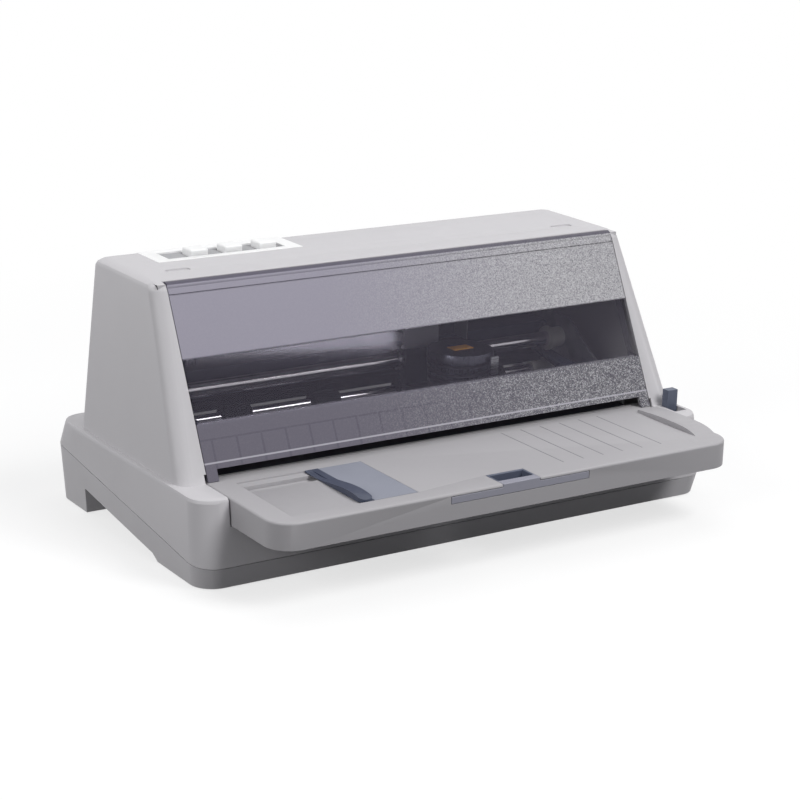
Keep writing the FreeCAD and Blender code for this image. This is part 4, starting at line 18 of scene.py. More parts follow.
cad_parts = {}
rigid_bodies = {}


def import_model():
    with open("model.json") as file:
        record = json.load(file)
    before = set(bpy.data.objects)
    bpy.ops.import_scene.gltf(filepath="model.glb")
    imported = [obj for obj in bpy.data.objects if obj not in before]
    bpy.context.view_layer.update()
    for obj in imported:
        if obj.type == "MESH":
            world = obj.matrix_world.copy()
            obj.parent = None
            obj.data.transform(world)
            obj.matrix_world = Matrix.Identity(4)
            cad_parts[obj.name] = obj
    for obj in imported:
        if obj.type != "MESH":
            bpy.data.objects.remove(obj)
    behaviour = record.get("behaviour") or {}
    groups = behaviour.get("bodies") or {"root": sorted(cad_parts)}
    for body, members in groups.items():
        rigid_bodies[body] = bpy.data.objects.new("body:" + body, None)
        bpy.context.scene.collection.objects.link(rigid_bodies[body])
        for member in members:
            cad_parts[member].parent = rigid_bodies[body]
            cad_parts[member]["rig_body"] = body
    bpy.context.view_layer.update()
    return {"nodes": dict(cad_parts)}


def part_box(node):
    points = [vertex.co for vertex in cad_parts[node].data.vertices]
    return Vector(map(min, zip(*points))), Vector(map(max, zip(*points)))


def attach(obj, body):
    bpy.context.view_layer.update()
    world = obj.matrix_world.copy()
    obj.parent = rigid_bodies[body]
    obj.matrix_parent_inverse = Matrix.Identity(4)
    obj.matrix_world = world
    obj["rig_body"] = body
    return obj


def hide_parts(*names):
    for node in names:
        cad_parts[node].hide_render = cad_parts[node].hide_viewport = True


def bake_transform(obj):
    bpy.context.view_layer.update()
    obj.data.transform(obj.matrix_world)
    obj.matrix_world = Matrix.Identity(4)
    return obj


LOG = logging.getLogger("printer")
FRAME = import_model()

Colour = tuple[float, float, float]
Point = tuple[float, float, float]
Range = tuple[float, float]

RISING: Range = (0.0, 1.0)
FALLING: Range = (1.0, 0.0)
NOISE_RANGE: Range = (0.3, 0.7)  # where most of a noise lies
CREASE = 32.0  # degrees above which an edge stays sharp
POLISHED = 0.00001  # depth of the grain on a smooth surface


def srgb(red: int, green: int, blue: int) -> Colour:
    """Linear colour from the three values that a picture editor shows.

    Args:
        red: Red, 0 to 255.
        green: Green, 0 to 255.
        blue: Blue, 0 to 255.

    Returns:
        The linear colour.
    """
    toe, slope, offset, power = 0.04045, 12.92, 0.055, 2.4

    def linear(value: int) -> float:
        """One channel of the colour."""
        share = value / 255
        return share / slope if share <= toe else ((share + offset) / (1 + offset)) ** power

    return linear(red), linear(green), linear(blue)


def scaled(colour: Colour, factor: float, lift: float = 0.0) -> Colour:
    """Lighter or darker colour: each channel times the factor, plus the lift."""
    return tuple(min(1.0, channel * factor + lift) for channel in colour)


class Slot(Enum):
    """Material slots of the record."""

    CASE = "case_grey"
    TRAY = "tray_grey"
    COVER = "smoked_cover"
    PANEL_WHITE = "panel_white"
    PANEL_GREY = "panel_grey"
    GUIDE = "guide_blue"
    LATCH = "latch_blue"
    LEVER = "lever_blue"
    RUBBER = "rubber_black"
    SHEET = "galvanised_sheet"
    STEEL = "ground_steel"
    GEAR = "gear_white"
    MOTOR = "motor_black"
    CARRIAGE = "carriage_black"
    HEAD = "head_alloy"
    TAPE = "amber_tape"
    SPRING = "spring_steel"
    BOARD = "board_green"
    CABLE = "cable_grey"
    CARTRIDGE = "cartridge_blue"
    RIBBON = "ink_ribbon"
    SOCKET = "socket_black"
    SOCKET_METAL = "socket_metal"


class Axis(Enum):
    """Axes of the frame."""

    X = 0
    Y = 1
    Z = 2


# Shading


@dataclass(frozen=True)
class Noise:
    """One grey noise: its cells per metre, its octaves, and the weight of the finer ones."""

    scale: float
    detail: float = 2.0
    roughness: float = 0.5


class Shading:
    """Builder for the node tree of one material."""

    mix_colours = (6, 7)
    mix_result = 2

    def __init__(self, name: str) -> None:
        """Start a material with its principled shader.

        Args:
            name: Name of the material.
        """
        self.material = bpy.data.materials.new(name)
        self.material.use_nodes = True
        self.tree = self.material.node_tree
        self.shader = self.tree.nodes["Principled BSDF"]
        self.output = self.tree.nodes["Material Output"]
        self.place = self.tree.nodes.new("ShaderNodeTexCoord").outputs["Object"]

    def node(self, kind: str, **settings: object) -> bpy.types.Node:
        """New node of the tree.

        Args:
            kind: Type of the node.
            settings: Properties to set on it.

        Returns:
            The node.
        """
        made = self.tree.nodes.new(kind)
        for name, value in settings.items():
            setattr(made, name, value)
        return made

    def feed(self, node: bpy.types.Node, socket: str | int, value: object) -> None:
        """Set or link one input of a node.

        Args:
            node: Node that gets the value.
            socket: Name or number of its input.
            value: A constant, or the output socket to link.
        """
        if isinstance(value, bpy.types.NodeSocket):
            self.tree.links.new(value, node.inputs[socket])
        else:
            node.inputs[socket].default_value = value

    def stretched(self, scale: Point) -> bpy.types.NodeSocket:
        """Object coordinates multiplied by a scale on each axis.

        Args:
            scale: The three factors.

        Returns:
            The stretched coordinates.
        """
        mapping = self.node("ShaderNodeMapping")
        self.feed(mapping, "Vector", self.place)
        self.feed(mapping, "Scale", scale)
        return mapping.outputs["Vector"]

    def noise(self, kind: Noise, place: bpy.types.NodeSocket | None = None) -> bpy.types.NodeSocket:
        """Grey noise from 0 to 1.

        Args:
            kind: Its settings.
            place: Coordinates, or None for the object's own.

        Returns:
            The noise's factor.
        """
        made = self.node("ShaderNodeTexNoise")
        self.feed(made, "Vector", place or self.place)
        self.feed(made, "Scale", kind.scale)
        self.feed(made, "Detail", kind.detail)
        self.feed(made, "Roughness", kind.roughness)
        return made.outputs[0]

    def cells(self, scale: float) -> bpy.types.NodeSocket:
        """Random number from 0 to 1 for each Voronoi cell.

        Args:
            scale: Cells per metre.

        Returns:
            The number.
        """
        made = self.node("ShaderNodeTexVoronoi")
        self.feed(made, "Vector", self.place)
        self.feed(made, "Scale", scale)
        return self.part(made.outputs["Color"], Axis.X)

    def span(self, value: bpy.types.NodeSocket, source: Range, target: Range = RISING,
             smooth: bool = False) -> bpy.types.NodeSocket:
        """Map a value from one range to another, clamped.

        Args:
            value: The value.
            source: Range that it comes from.
            target: Range that it goes to.
            smooth: Whether it eases in and out.

        Returns:
            The mapped value.
        """
        made = self.node("ShaderNodeMapRange",
                         interpolation_type="SMOOTHSTEP" if smooth else "LINEAR")
        self.feed(made, "Value", value)
        for label, number in zip(("From Min", "From Max", "To Min", "To Max"), source + target):
            self.feed(made, label, number)
        return made.outputs[0]

    def step(self, value: bpy.types.NodeSocket, border: float, half: float,
             target: Range = RISING) -> bpy.types.NodeSocket:
        """Short ramp across a border, half as wide on each side of it."""
        return self.span(value, (border - half, border + half), target)

    def mark(self, distance: bpy.types.NodeSocket, half: float,
             share: float = 1.0) -> bpy.types.NodeSocket:
        """Share on a thin line, from the distance to its middle, fading out beside it."""
        return self.span(distance, (half, 2 * half), (share, 0.0))

    def maths(self, operation: str, first: object, second: object = 0.0) -> bpy.types.NodeSocket:
        """Result of one sum.

        Args:
            operation: Its kind.
            first: First number or socket.
            second: Second one, where the kind has two.

        Returns:
            The result.
        """
        made = self.node("ShaderNodeMath", operation=operation)
        self.feed(made, 0, first)
        self.feed(made, 1, second)
        return made.outputs[0]

    def off(self, value: bpy.types.NodeSocket, place: float) -> bpy.types.NodeSocket:
        """Distance between a value and a place."""
        return self.maths("ABSOLUTE", self.maths("SUBTRACT", value, place))

    def wave(self, value: bpy.types.NodeSocket, per_metre: float) -> bpy.types.NodeSocket:
        """Sine from -1 to 1 with so many waves per metre."""
        return self.maths("SINE", self.maths("MULTIPLY", value, per_metre * 2 * math.pi))

    def part(self, vector: bpy.types.NodeSocket, axis: Axis) -> bpy.types.NodeSocket:
        """One component of a vector or of a colour.

        Args:
            vector: The vector or colour.
            axis: Which component.

        Returns:
            The component.
        """
        made = self.node("ShaderNodeSeparateXYZ")
        self.feed(made, 0, vector)
        return made.outputs[axis.value]

    def along(self, axis: Axis) -> bpy.types.NodeSocket:
        """One of the object's coordinates."""
        return self.part(self.place, axis)

    def blend(self, share: object, first: object, second: object) -> bpy.types.NodeSocket:
        """Mix of two colours.

        Args:
            share: Share of the second colour.
            first: First colour or socket.
            second: Second colour or socket.

        Returns:
            The mixed colour.
        """
        made = self.node("ShaderNodeMix", data_type="RGBA")
        self.feed(made, "Factor", share)
        for socket, colour in zip(self.mix_colours, (first, second)):
            self.feed(made, socket, (*colour, 1.0) if isinstance(colour, tuple) else colour)
        return made.outputs[self.mix_result]

    def mixed(self, share: bpy.types.NodeSocket, first: bpy.types.NodeSocket,
              second: bpy.types.NodeSocket) -> bpy.types.NodeSocket:
        """Mix of two shaders.

        Args:
            share: Share of the second shader.
            first: First shader.
            second: Second shader.

        Returns:
            The mixed shader.
        """
        mix = self.node("ShaderNodeMixShader")
        for socket, value in enumerate((share, first, second)):
            self.feed(mix, socket, value)
        return mix.outputs[0]

    def bump(self, height: bpy.types.NodeSocket, strength: float, depth: float,
             before: bpy.types.NodeSocket | None = None) -> bpy.types.NodeSocket:
        """Bumped normal.

        Args:
            height: Height from 0 to 1.
            strength: How much of the bump shows.
            depth: Real height of 1.
            before: An earlier bumped normal to go on from.

        Returns:
            The normal.
        """
        made = self.node("ShaderNodeBump")
        self.feed(made, "Strength", strength)
        self.feed(made, "Distance", depth)
        self.feed(made, "Height", height)
        if before is not None:
            self.feed(made, "Normal", before)
        return made.outputs[0]

    def set(self, **values: object) -> None:
        """Set or link inputs of the principled shader.

        Args:
            values: Constants or sockets by the input's name, with _ for a space.
        """
        for name, value in values.items():
            if isinstance(value, tuple):
                value = (*value, 1.0)
            self.feed(self.shader, name.replace("_", " "), value)


@dataclass(frozen=True)
class Finish:
    """A finish: a name, a slot of the record, a colour and a gloss."""

    name: str
    slot: Slot
    colour: Colour
    roughness: float = 0.5

    def material(self) -> bpy.types.Material:
        """The finish's material, built once.

        Returns:
            The material.
        """
        found = bpy.data.materials.get(self.name)
        if found is None:
            shading = Shading(self.name)
            self.dress(shading)
            found = shading.material
        return found

    def dress(self, shading: Shading) -> None:
        """Fill the node tree."""
        shading.set(Base_Color=self.colour, Roughness=self.roughness)

    def around(self, less: float, more: float) -> Range:
        """Range of gloss round the finish's own."""
        return self.roughness - less, self.roughness + more


@dataclass(frozen=True)
class MouldedPlastic(Finish):
    """Moulded plastic with a fine spark-eroded grain."""

    depth: float = 0.00004
    sheen: float = 0.3
    mottle: float = 0.025
    unevenness: float = 0.05
    cloud: Noise = Noise(9.0, 3.0)
    patch: Noise = Noise(60.0, 4.0, 0.65)
    broad: Noise = Noise(250.0)
    broad_relief: float = 0.2
    grain: Noise = Noise(1500.0, 3.0, 0.6)
    grain_relief: float = 0.5

    def dress(self, shading: Shading) -> None:
        """Grain in the normal, a faint cloudiness in colour and gloss.

        Args:
            shading: Builder of the material.
        """
        dark, light = (scaled(self.colour, 1 + side * self.mottle) for side in (-1, 1))
        gloss = shading.span(shading.noise(self.patch), NOISE_RANGE,
                             self.around(self.unevenness, self.unevenness))
        broad = shading.bump(shading.noise(self.broad), self.broad_relief, self.depth)
        grain = shading.bump(shading.noise(self.grain), self.grain_relief, self.depth, broad)
        shading.set(Base_Color=shading.blend(shading.noise(self.cloud), dark, light),
                    Roughness=gloss, Specular_IOR_Level=self.sheen, Normal=grain)


@dataclass(frozen=True)
class SmokedCover(Finish):
    """Smoked clear sheet with frosted bands above and below a clear window.

    Its flecks are painted glints and painted shade: smooth on the left, more and more to the right.
    """

    upper: tuple[Colour, Colour] = (srgb(148, 145, 157), srgb(162, 161, 164))
    lower: tuple[Colour, Colour] = (srgb(92, 89, 99), srgb(92, 91, 96))
    window_low: float = 0.0872
    window_high: float = 0.1232
    fade: float = 0.0006
    window_alpha: float = 0.2
    window_index: float = 1.55
    window_gloss: float = 1.0
    frost_alpha: float = 0.95
    frost_roughness: float = 0.42
    frost_gloss: float = 0.3
    frost_relief: float = 0.35
    frost_depth: float = 0.00006
    glare: Colour = (0.84, 0.8, 0.97)
    # painted sparkle: fleck is the colour of the painted glints; the fields below it set them and
    # the painted shade beside them along X
    fleck: Colour = srgb(232, 232, 234)
    fleck_scale: float = 1900.0
    painted_sparkle: Range = (-0.08, 0.13)
    bright: Range = (0.5, 1.0)
    glint_share: Range = (0.02, 0.5)
    dark: Range = (0.0, 0.3)
    painted_shade_share: Range = (0.02, 0.55)
    rib_pitch: float = 0.0169
    rib_half: float = 0.0005
    rib_share: float = 0.35
    shelf_height: float = 0.0785
    # painted highlight: a light line along the lip above the mouth, for the light on its edge
    lip_highlight: Colour = srgb(182, 180, 188)
    lip_height: float = 0.0655
    lip_half: float = 0.0003
    lip_highlight_share: float = 0.8
    # painted shade: the cover's top strip is drawn dark for the shade in the gap to the upper case
    gap_shade_height: float = 0.1642
    gap_shade_share: float = 0.85
    warp: Noise = Noise(12.0, 1.0)
    warp_relief: float = 1.0
    warp_depth: float = 0.00003

    def ribs(self, shading: Shading, z: bpy.types.NodeSocket) -> bpy.types.NodeSocket:
        """Share of the ribs and of the shelf line that they end at.

        Args:
            shading: Builder of the material.
            z: Height on the cover.

        Returns:
            The share, which is 0 above the shelf line.
        """
        half_pitch = self.rib_pitch / 2
        shifted = shading.maths("ADD", shading.along(Axis.X), half_pitch)
        rib = shading.maths("PINGPONG", shifted, half_pitch)
        nearest = shading.maths("MINIMUM", rib, shading.off(z, self.shelf_height))
        faint = shading.maths("MULTIPLY", shading.mark(nearest, self.rib_half), self.rib_share)
        under = shading.span(z, (self.shelf_height, self.shelf_height + self.rib_half), FALLING)
        return shading.maths("MULTIPLY", faint, under)

    def flecks(self, shading: Shading, fleck: bpy.types.NodeSocket, milky: bpy.types.NodeSocket,
               across: bpy.types.NodeSocket) -> bpy.types.NodeSocket:
        """Frost with bright and dark flecks in it.

        Args:
            shading: Builder of the material.
            fleck: Random number of each fleck.
            milky: Colour of the frost without them.
            across: Share of the painted sparkle, from none on the left to full on the right.

        Returns:
            The flecked colour.
        """
        bright = shading.maths("MULTIPLY", shading.span(fleck, self.bright),
                               shading.span(across, RISING, self.glint_share))
        dark = shading.maths("MULTIPLY", shading.span(fleck, self.dark, FALLING),
                             shading.span(across, RISING, self.painted_shade_share))
        return shading.blend(dark, shading.blend(bright, milky, self.fleck), self.colour)

    def dress(self, shading: Shading) -> None:
        """Zones by height, flecks in the frosted ones, and an alpha that clears the window.

        Args:
            shading: Builder of the material.
        """
        z = shading.along(Axis.Z)
        # painted sparkle: its share grows along X, from the left of the cover to the right
        across = shading.span(shading.along(Axis.X), self.painted_sparkle, smooth=True)
        above = shading.step(z, self.window_high, self.fade)
        frosted = shading.maths("MAXIMUM", above,
                                shading.step(z, self.window_low, self.fade, FALLING))
        milky = shading.blend(above, shading.blend(across, *self.lower),
                              shading.blend(across, *self.upper))
        milky = shading.blend(self.ribs(shading, z), milky, self.colour)
        fleck = shading.cells(self.fleck_scale)
        frost = self.flecks(shading, fleck, milky, across)
        # painted highlight along the lip's edge
        lip_highlight = shading.mark(shading.off(z, self.lip_height), self.lip_half, self.lip_highlight_share)
        frost = shading.blend(lip_highlight, frost, self.lip_highlight)
        # painted shade of the gap along the cover's top
        gap_shade = shading.span(z, (self.gap_shade_height, self.gap_shade_height + self.rib_half),
                            (0.0, self.gap_shade_share))
        frost = shading.blend(gap_shade, frost, self.colour)
        shading.set(Base_Color=shading.blend(frosted, self.colour, frost), IOR=self.window_index,
                    Specular_Tint=self.glare)
        for name, window, frosty in (
                ("Roughness", self.roughness, self.frost_roughness),
                ("Specular_IOR_Level", self.window_gloss, self.frost_gloss),
                ("Alpha", self.window_alpha, self.frost_alpha)):
            shading.set(**{name: shading.span(frosted, RISING, (window, frosty))})
        warped = shading.bump(shading.noise(self.warp), self.warp_relief, self.warp_depth)
        rough = shading.maths("MULTIPLY", fleck, frosted)
        shading.set(Normal=shading.bump(rough, self.frost_relief, self.frost_depth, warped))


@dataclass(frozen=True)
class ColourSplit(Finish):
    """Moulded plastic in one colour up to a place along an axis and another past it."""

    # The defaults are the edge guide's: past is its lit colour, and left of the border it is drawn
    # in painted shade.
    past: Colour = srgb(142, 145, 157)
    axis: Axis = Axis.X
    border: float = -0.0969
    fade: float = 0.0001
    unevenness: float = 0.04
    patch: Noise = Noise(60.0, 4.0)
    grain: Noise = Noise(1500.0, 3.0)
    relief: float = 0.4
    depth: float = 0.00003

    def dress(self, shading: Shading) -> None:
        """The finish's own colour up to the border, the other past it, and a grain all over.

        Args:
            shading: Builder of the material.
        """
        side = shading.step(shading.along(self.axis), self.border, self.fade)
        gloss = shading.span(shading.noise(self.patch), NOISE_RANGE,
                             self.around(self.unevenness, self.unevenness))
        shading.set(Base_Color=shading.blend(side, self.colour, self.past), Roughness=gloss,
                    Normal=shading.bump(shading.noise(self.grain), self.relief, self.depth))


@dataclass(frozen=True)
class FlatCable(Finish):
    """Flat film cable with parallel conductors."""

    strands: float = 1000.0
    strand: Range = (-0.6, 0.4)
    gap: float = 0.55
    relief: float = 0.4
    depth: float = 0.0001

    def dress(self, shading: Shading) -> None:
        """Conductors side by side across the cable's width.

        Args:
            shading: Builder of the material.
        """
        strand = shading.span(shading.wave(shading.along(Axis.Y), self.strands), self.strand)
        shading.set(Base_Color=shading.blend(strand, scaled(self.colour, self.gap), self.colour),
                    Roughness=self.roughness,
                    Normal=shading.bump(strand, self.relief, self.depth))


@dataclass(frozen=True)
class Metal(Finish):
    """Metal with drawn or ground streaks along one axis."""

    along: Axis = Axis.X
    streaks: float = 900.0
    length: float = 60.0
    spangle: float = 0.0
    shade: float = 0.82
    smoother: float = 0.08
    rougher: float = 0.1
    streak: Noise = Noise(1.0, 3.0, 0.6)
    relief: float = 0.25
    depth: float = 0.00003

    def dress(self, shading: Shading) -> None:
        """Streaks in gloss and normal, and zinc spangle where the sheet has it.

        Args:
            shading: Builder of the material.
        """
        scale = [self.streaks] * 3
        scale[self.along.value] = self.streaks / self.length
        streak = shading.noise(self.streak, shading.stretched(tuple(scale)))
        tone = shading.cells(self.spangle) if self.spangle else streak
        shading.set(Base_Color=shading.blend(tone, scaled(self.colour, self.shade), self.colour),
                    Roughness=shading.span(streak, NOISE_RANGE,
                                           self.around(self.smoother, self.rougher)),
                    Metallic=1.0, Normal=shading.bump(streak, self.relief, self.depth))


@dataclass(frozen=True)
class Rubber(Finish):
    """Matt rubber, a little dusty."""

    sheen: float = 0.3
    bloom: Noise = Noise(45.0, 5.0, 0.7)
    bloom_range: Range = (0.4, 0.75)
    bloom_share: float = 0.6
    paler: float = 1.7
    dust: float = 0.008
    pores: Noise = Noise(2600.0)
    relief: float = 0.35
    depth: float = 0.00003

    def dress(self, shading: Shading) -> None:
        """Fine pores and a paler bloom.

        Args:
            shading: Builder of the material.
        """
        bloom = shading.span(shading.noise(self.bloom), self.bloom_range, (0.0, self.bloom_share))
        pale = scaled(self.colour, self.paler, self.dust)
        shading.set(Base_Color=shading.blend(bloom, self.colour, pale), Roughness=self.roughness,
                    Specular_IOR_Level=self.sheen,
                    Normal=shading.bump(shading.noise(self.pores), self.relief, self.depth))


@dataclass(frozen=True)
class CircuitBoard(Finish):
    """Green solder resist over copper tracks."""

    tracks: float = 420.0
    track: Range = (0.2, 0.5)
    cell_scale: float = 90.0
    jog: float = 0.02
    paler: float = 1.8
    lift: float = 0.01
    relief: float = 0.3
    depth: float = 0.00004

    def dress(self, shading: Shading) -> None:
        """Tracks as bands that jog between cells.

        Args:
            shading: Builder of the material.
        """
        jog = shading.maths("MULTIPLY", shading.cells(self.cell_scale), self.jog)
        across = shading.maths("ADD", shading.along(Axis.X), jog)
        track = shading.span(shading.wave(across, self.tracks), self.track)
        copper = scaled(self.colour, self.paler, self.lift)
        shading.set(Base_Color=shading.blend(track, self.colour, copper), Roughness=self.roughness,
                    Normal=shading.bump(track, self.relief, self.depth))


@dataclass(frozen=True)
class Weave(Finish):
    """Fine woven band."""

    threads: float = 2200.0
    paler: float = 1.6
    lift: float = 0.01
    relief: float = 0.5
    depth: float = 0.00004

    def dress(self, shading: Shading) -> None:
        """Two crossed waves of thread.

        Args:
            shading: Builder of the material.
        """
        waves = [shading.wave(shading.along(axis), self.threads) for axis in (Axis.X, Axis.Y)]
        cloth = shading.maths("MULTIPLY", *waves)
        light = scaled(self.colour, self.paler, self.lift)
        shading.set(Base_Color=shading.blend(shading.span(cloth, (-1.0, 1.0)), self.colour, light),
                    Roughness=self.roughness,
                    Normal=shading.bump(cloth, self.relief, self.depth))


@dataclass(frozen=True)
class Palette:
    """Every finish of the machine."""

    case: Finish = MouldedPlastic("case plastic", Slot.CASE, srgb(196, 194, 197), 0.5)
    tray: Finish = MouldedPlastic("tray plastic", Slot.TRAY, srgb(170, 168, 171), 0.5)
    line: Finish = MouldedPlastic("ruled line", Slot.TRAY, srgb(122, 121, 126), 0.5)
    cover: Finish = SmokedCover("smoked cover", Slot.COVER, srgb(56, 52, 66), 0.05)
    white: Finish = MouldedPlastic("panel white", Slot.PANEL_WHITE, srgb(240, 240, 240), 0.35)
    panel: Finish = MouldedPlastic("panel grey", Slot.PANEL_GREY, srgb(158, 158, 161), 0.5)
    # painted shade: the guide left of the border, with its ridge's left face, is the same plastic
    # drawn dark for the shade there
    guide: Finish = ColourSplit("guide blue grey and painted shade", Slot.GUIDE, srgb(60, 66, 84), 0.45)
    latch: Finish = ColourSplit("latch blue grey", Slot.LATCH, srgb(146, 146, 158), 0.45,
                            srgb(84, 90, 108), Axis.Y, -0.1226)
    lever: Finish = MouldedPlastic("lever blue grey", Slot.LEVER, srgb(92, 98, 114), 0.4)
    rubber: Finish = Rubber("black rubber", Slot.RUBBER, srgb(30, 30, 31), 0.75)
    sheet: Finish = Metal("zinc sheet", Slot.SHEET, srgb(176, 178, 182), 0.38, spangle=140.0)
    black_sheet: Finish = MouldedPlastic("blackened sheet", Slot.SHEET, srgb(52, 50, 60), 0.4,
                                         depth=POLISHED)
    steel: Finish = Metal("ground steel", Slot.STEEL, srgb(226, 222, 230), 0.1)
    gear: Finish = MouldedPlastic("acetal", Slot.GEAR, srgb(222, 221, 214), 0.4, depth=POLISHED)
    motor: Finish = MouldedPlastic("motor paint", Slot.MOTOR, srgb(38, 38, 40), 0.35)
    carriage: Finish = MouldedPlastic("carriage plastic", Slot.CARRIAGE, srgb(42, 42, 48), 0.42)
    head: Finish = Metal("anodised alloy", Slot.HEAD, srgb(84, 84, 94), 0.3, Axis.Z, 1300.0)
    tape: Finish = MouldedPlastic("amber tape", Slot.TAPE, srgb(244, 176, 62), 0.25,
                                  depth=POLISHED)
    spring: Finish = Metal("spring steel", Slot.SPRING, srgb(170, 170, 176), 0.28)
    board: Finish = CircuitBoard("solder resist", Slot.BOARD, srgb(22, 62, 40), 0.35)
    cable: Finish = FlatCable("cable film", Slot.CABLE, srgb(190, 192, 198), 0.3)
    connector: Finish = MouldedPlastic("connector board", Slot.CABLE, srgb(228, 227, 238), 0.4)
    cartridge: Finish = MouldedPlastic("cartridge plastic", Slot.CARTRIDGE, srgb(52, 58, 76), 0.45)
    ribbon: Finish = Weave("inked nylon", Slot.RIBBON, srgb(16, 16, 22), 0.7)
    socket: Finish = MouldedPlastic("socket plastic", Slot.SOCKET, srgb(28, 28, 28), 0.4)
    nickel: Finish = Metal("nickel plate", Slot.SOCKET_METAL, srgb(190, 190, 194), 0.25)


PAINT = Palette()


# Mesh tools


def linked(name: str, data: bpy.types.ID) -> bpy.types.Object:
    """New object in the scene.

    Args:
        name: Name of the object.
        data: Its mesh, camera or lamp.

    Returns:
        The object.
    """
    made = bpy.data.objects.new(name, data)
    bpy.context.scene.collection.objects.link(made)
    return made


def settle(piece: bpy.types.Object, body: str, finish: Finish, *nodes: str) -> None:
    """Put a finished piece on its body.

    Args:
        piece: The finished piece, in place.
        body: CAD body that it rides on.
        finish: Not used.
        nodes: CAD nodes that it stands for.
    """
    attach(piece, body)
    if nodes:
        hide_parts(*nodes)
    LOG.info("piece %s on %s", piece.name, body)


@dataclass
class Refined:
    """A copy of a CAD node with merged points, soft normals and small rounded edges."""

    node: str
    finish: Finish
    edge: float
    segments: int = 2
    flat: float = 0.6
    merged: float = 2e-6

    def build(self) -> None:
        """Make the piece, put it on the node's body and let it stand for the node."""
        source = FRAME["nodes"][self.node]
        mesh = bpy.data.meshes.new(self.node + "_skin")
        work = bmesh.new()
        work.from_mesh(source.data)
        bmesh.ops.remove_doubles(work, verts=work.verts, dist=self.merged)
        bmesh.ops.dissolve_limit(work, angle_limit=math.radians(self.flat), verts=work.verts,
                                 edges=work.edges, use_dissolve_boundaries=False)
        work.to_mesh(mesh)
        work.free()
        mesh.materials.clear()
        mesh.materials.append(self.finish.material())
        mesh.shade_smooth()
        mesh.set_sharp_from_angle(angle=math.radians(CREASE))
        piece = linked(self.node + "_skin", mesh)
        if self.edge:
            bevel = piece.modifiers.new("edge", "BEVEL")
            bevel.width = self.edge
            bevel.segments = self.segments
            bevel.limit_method = "ANGLE"
            bevel.angle_limit = math.radians(CREASE)
            bevel.harden_normals = True
            bevel.miter_outer = "MITER_ARC"
        settle(piece, source["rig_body"], self.finish, self.node)


def refine(finish: Finish, *nodes: str, edge: float) -> None:
    """Replace CAD nodes by refined copies in one finish."""
    for name in nodes:
        Refined(name, finish, edge).build()


def paint(finish: Finish, *nodes: str) -> None:
    """Give CAD nodes a finish as they are.

    Args:
        finish: The finish.
        nodes: The nodes that take it.
    """
    for name in nodes:
        data = FRAME["nodes"][name].data
        data.materials.clear()
        data.materials.append(finish.material())
        LOG.info("finish %s on %s", finish.name, name)


def bridge(work: bmesh.types.BMesh, first: Sequence[bmesh.types.BMVert],
           second: Sequence[bmesh.types.BMVert]) -> None:
    """Join two closed rings of points by a band of faces.

    Args:
        work: Mesh that holds them.
        first: One ring.
        second: The next ring, with as many points.
    """
    for index in range(len(first)):
        after = (index + 1) % len(first)
        work.faces.new((first[index], first[after], second[after], second[index]))


def piece_of(name: str, work: bmesh.types.BMesh, finish: Finish,
             crease: float = CREASE) -> bpy.types.Object:
    """Object made of a built mesh, with its faces turned outwards.

    Args:
        name: Name of the piece.
        work: Its mesh, which is freed.
        finish: Its finish.
        crease: Angle above which an edge stays sharp, in degrees.

    Returns:
        The piece, not yet on a body.
    """
    bmesh.ops.recalc_face_normals(work, faces=work.faces)
    mesh = bpy.data.meshes.new(name)
    work.to_mesh(mesh)
    work.free()
    mesh.materials.append(finish.material())
    mesh.shade_smooth()
    mesh.set_sharp_from_angle(angle=math.radians(crease))
    return linked(name, mesh)


@dataclass
class Row:
    """Equal boxes in a straight row."""

    start: Point
    step: Point
    count: int
    size: Point


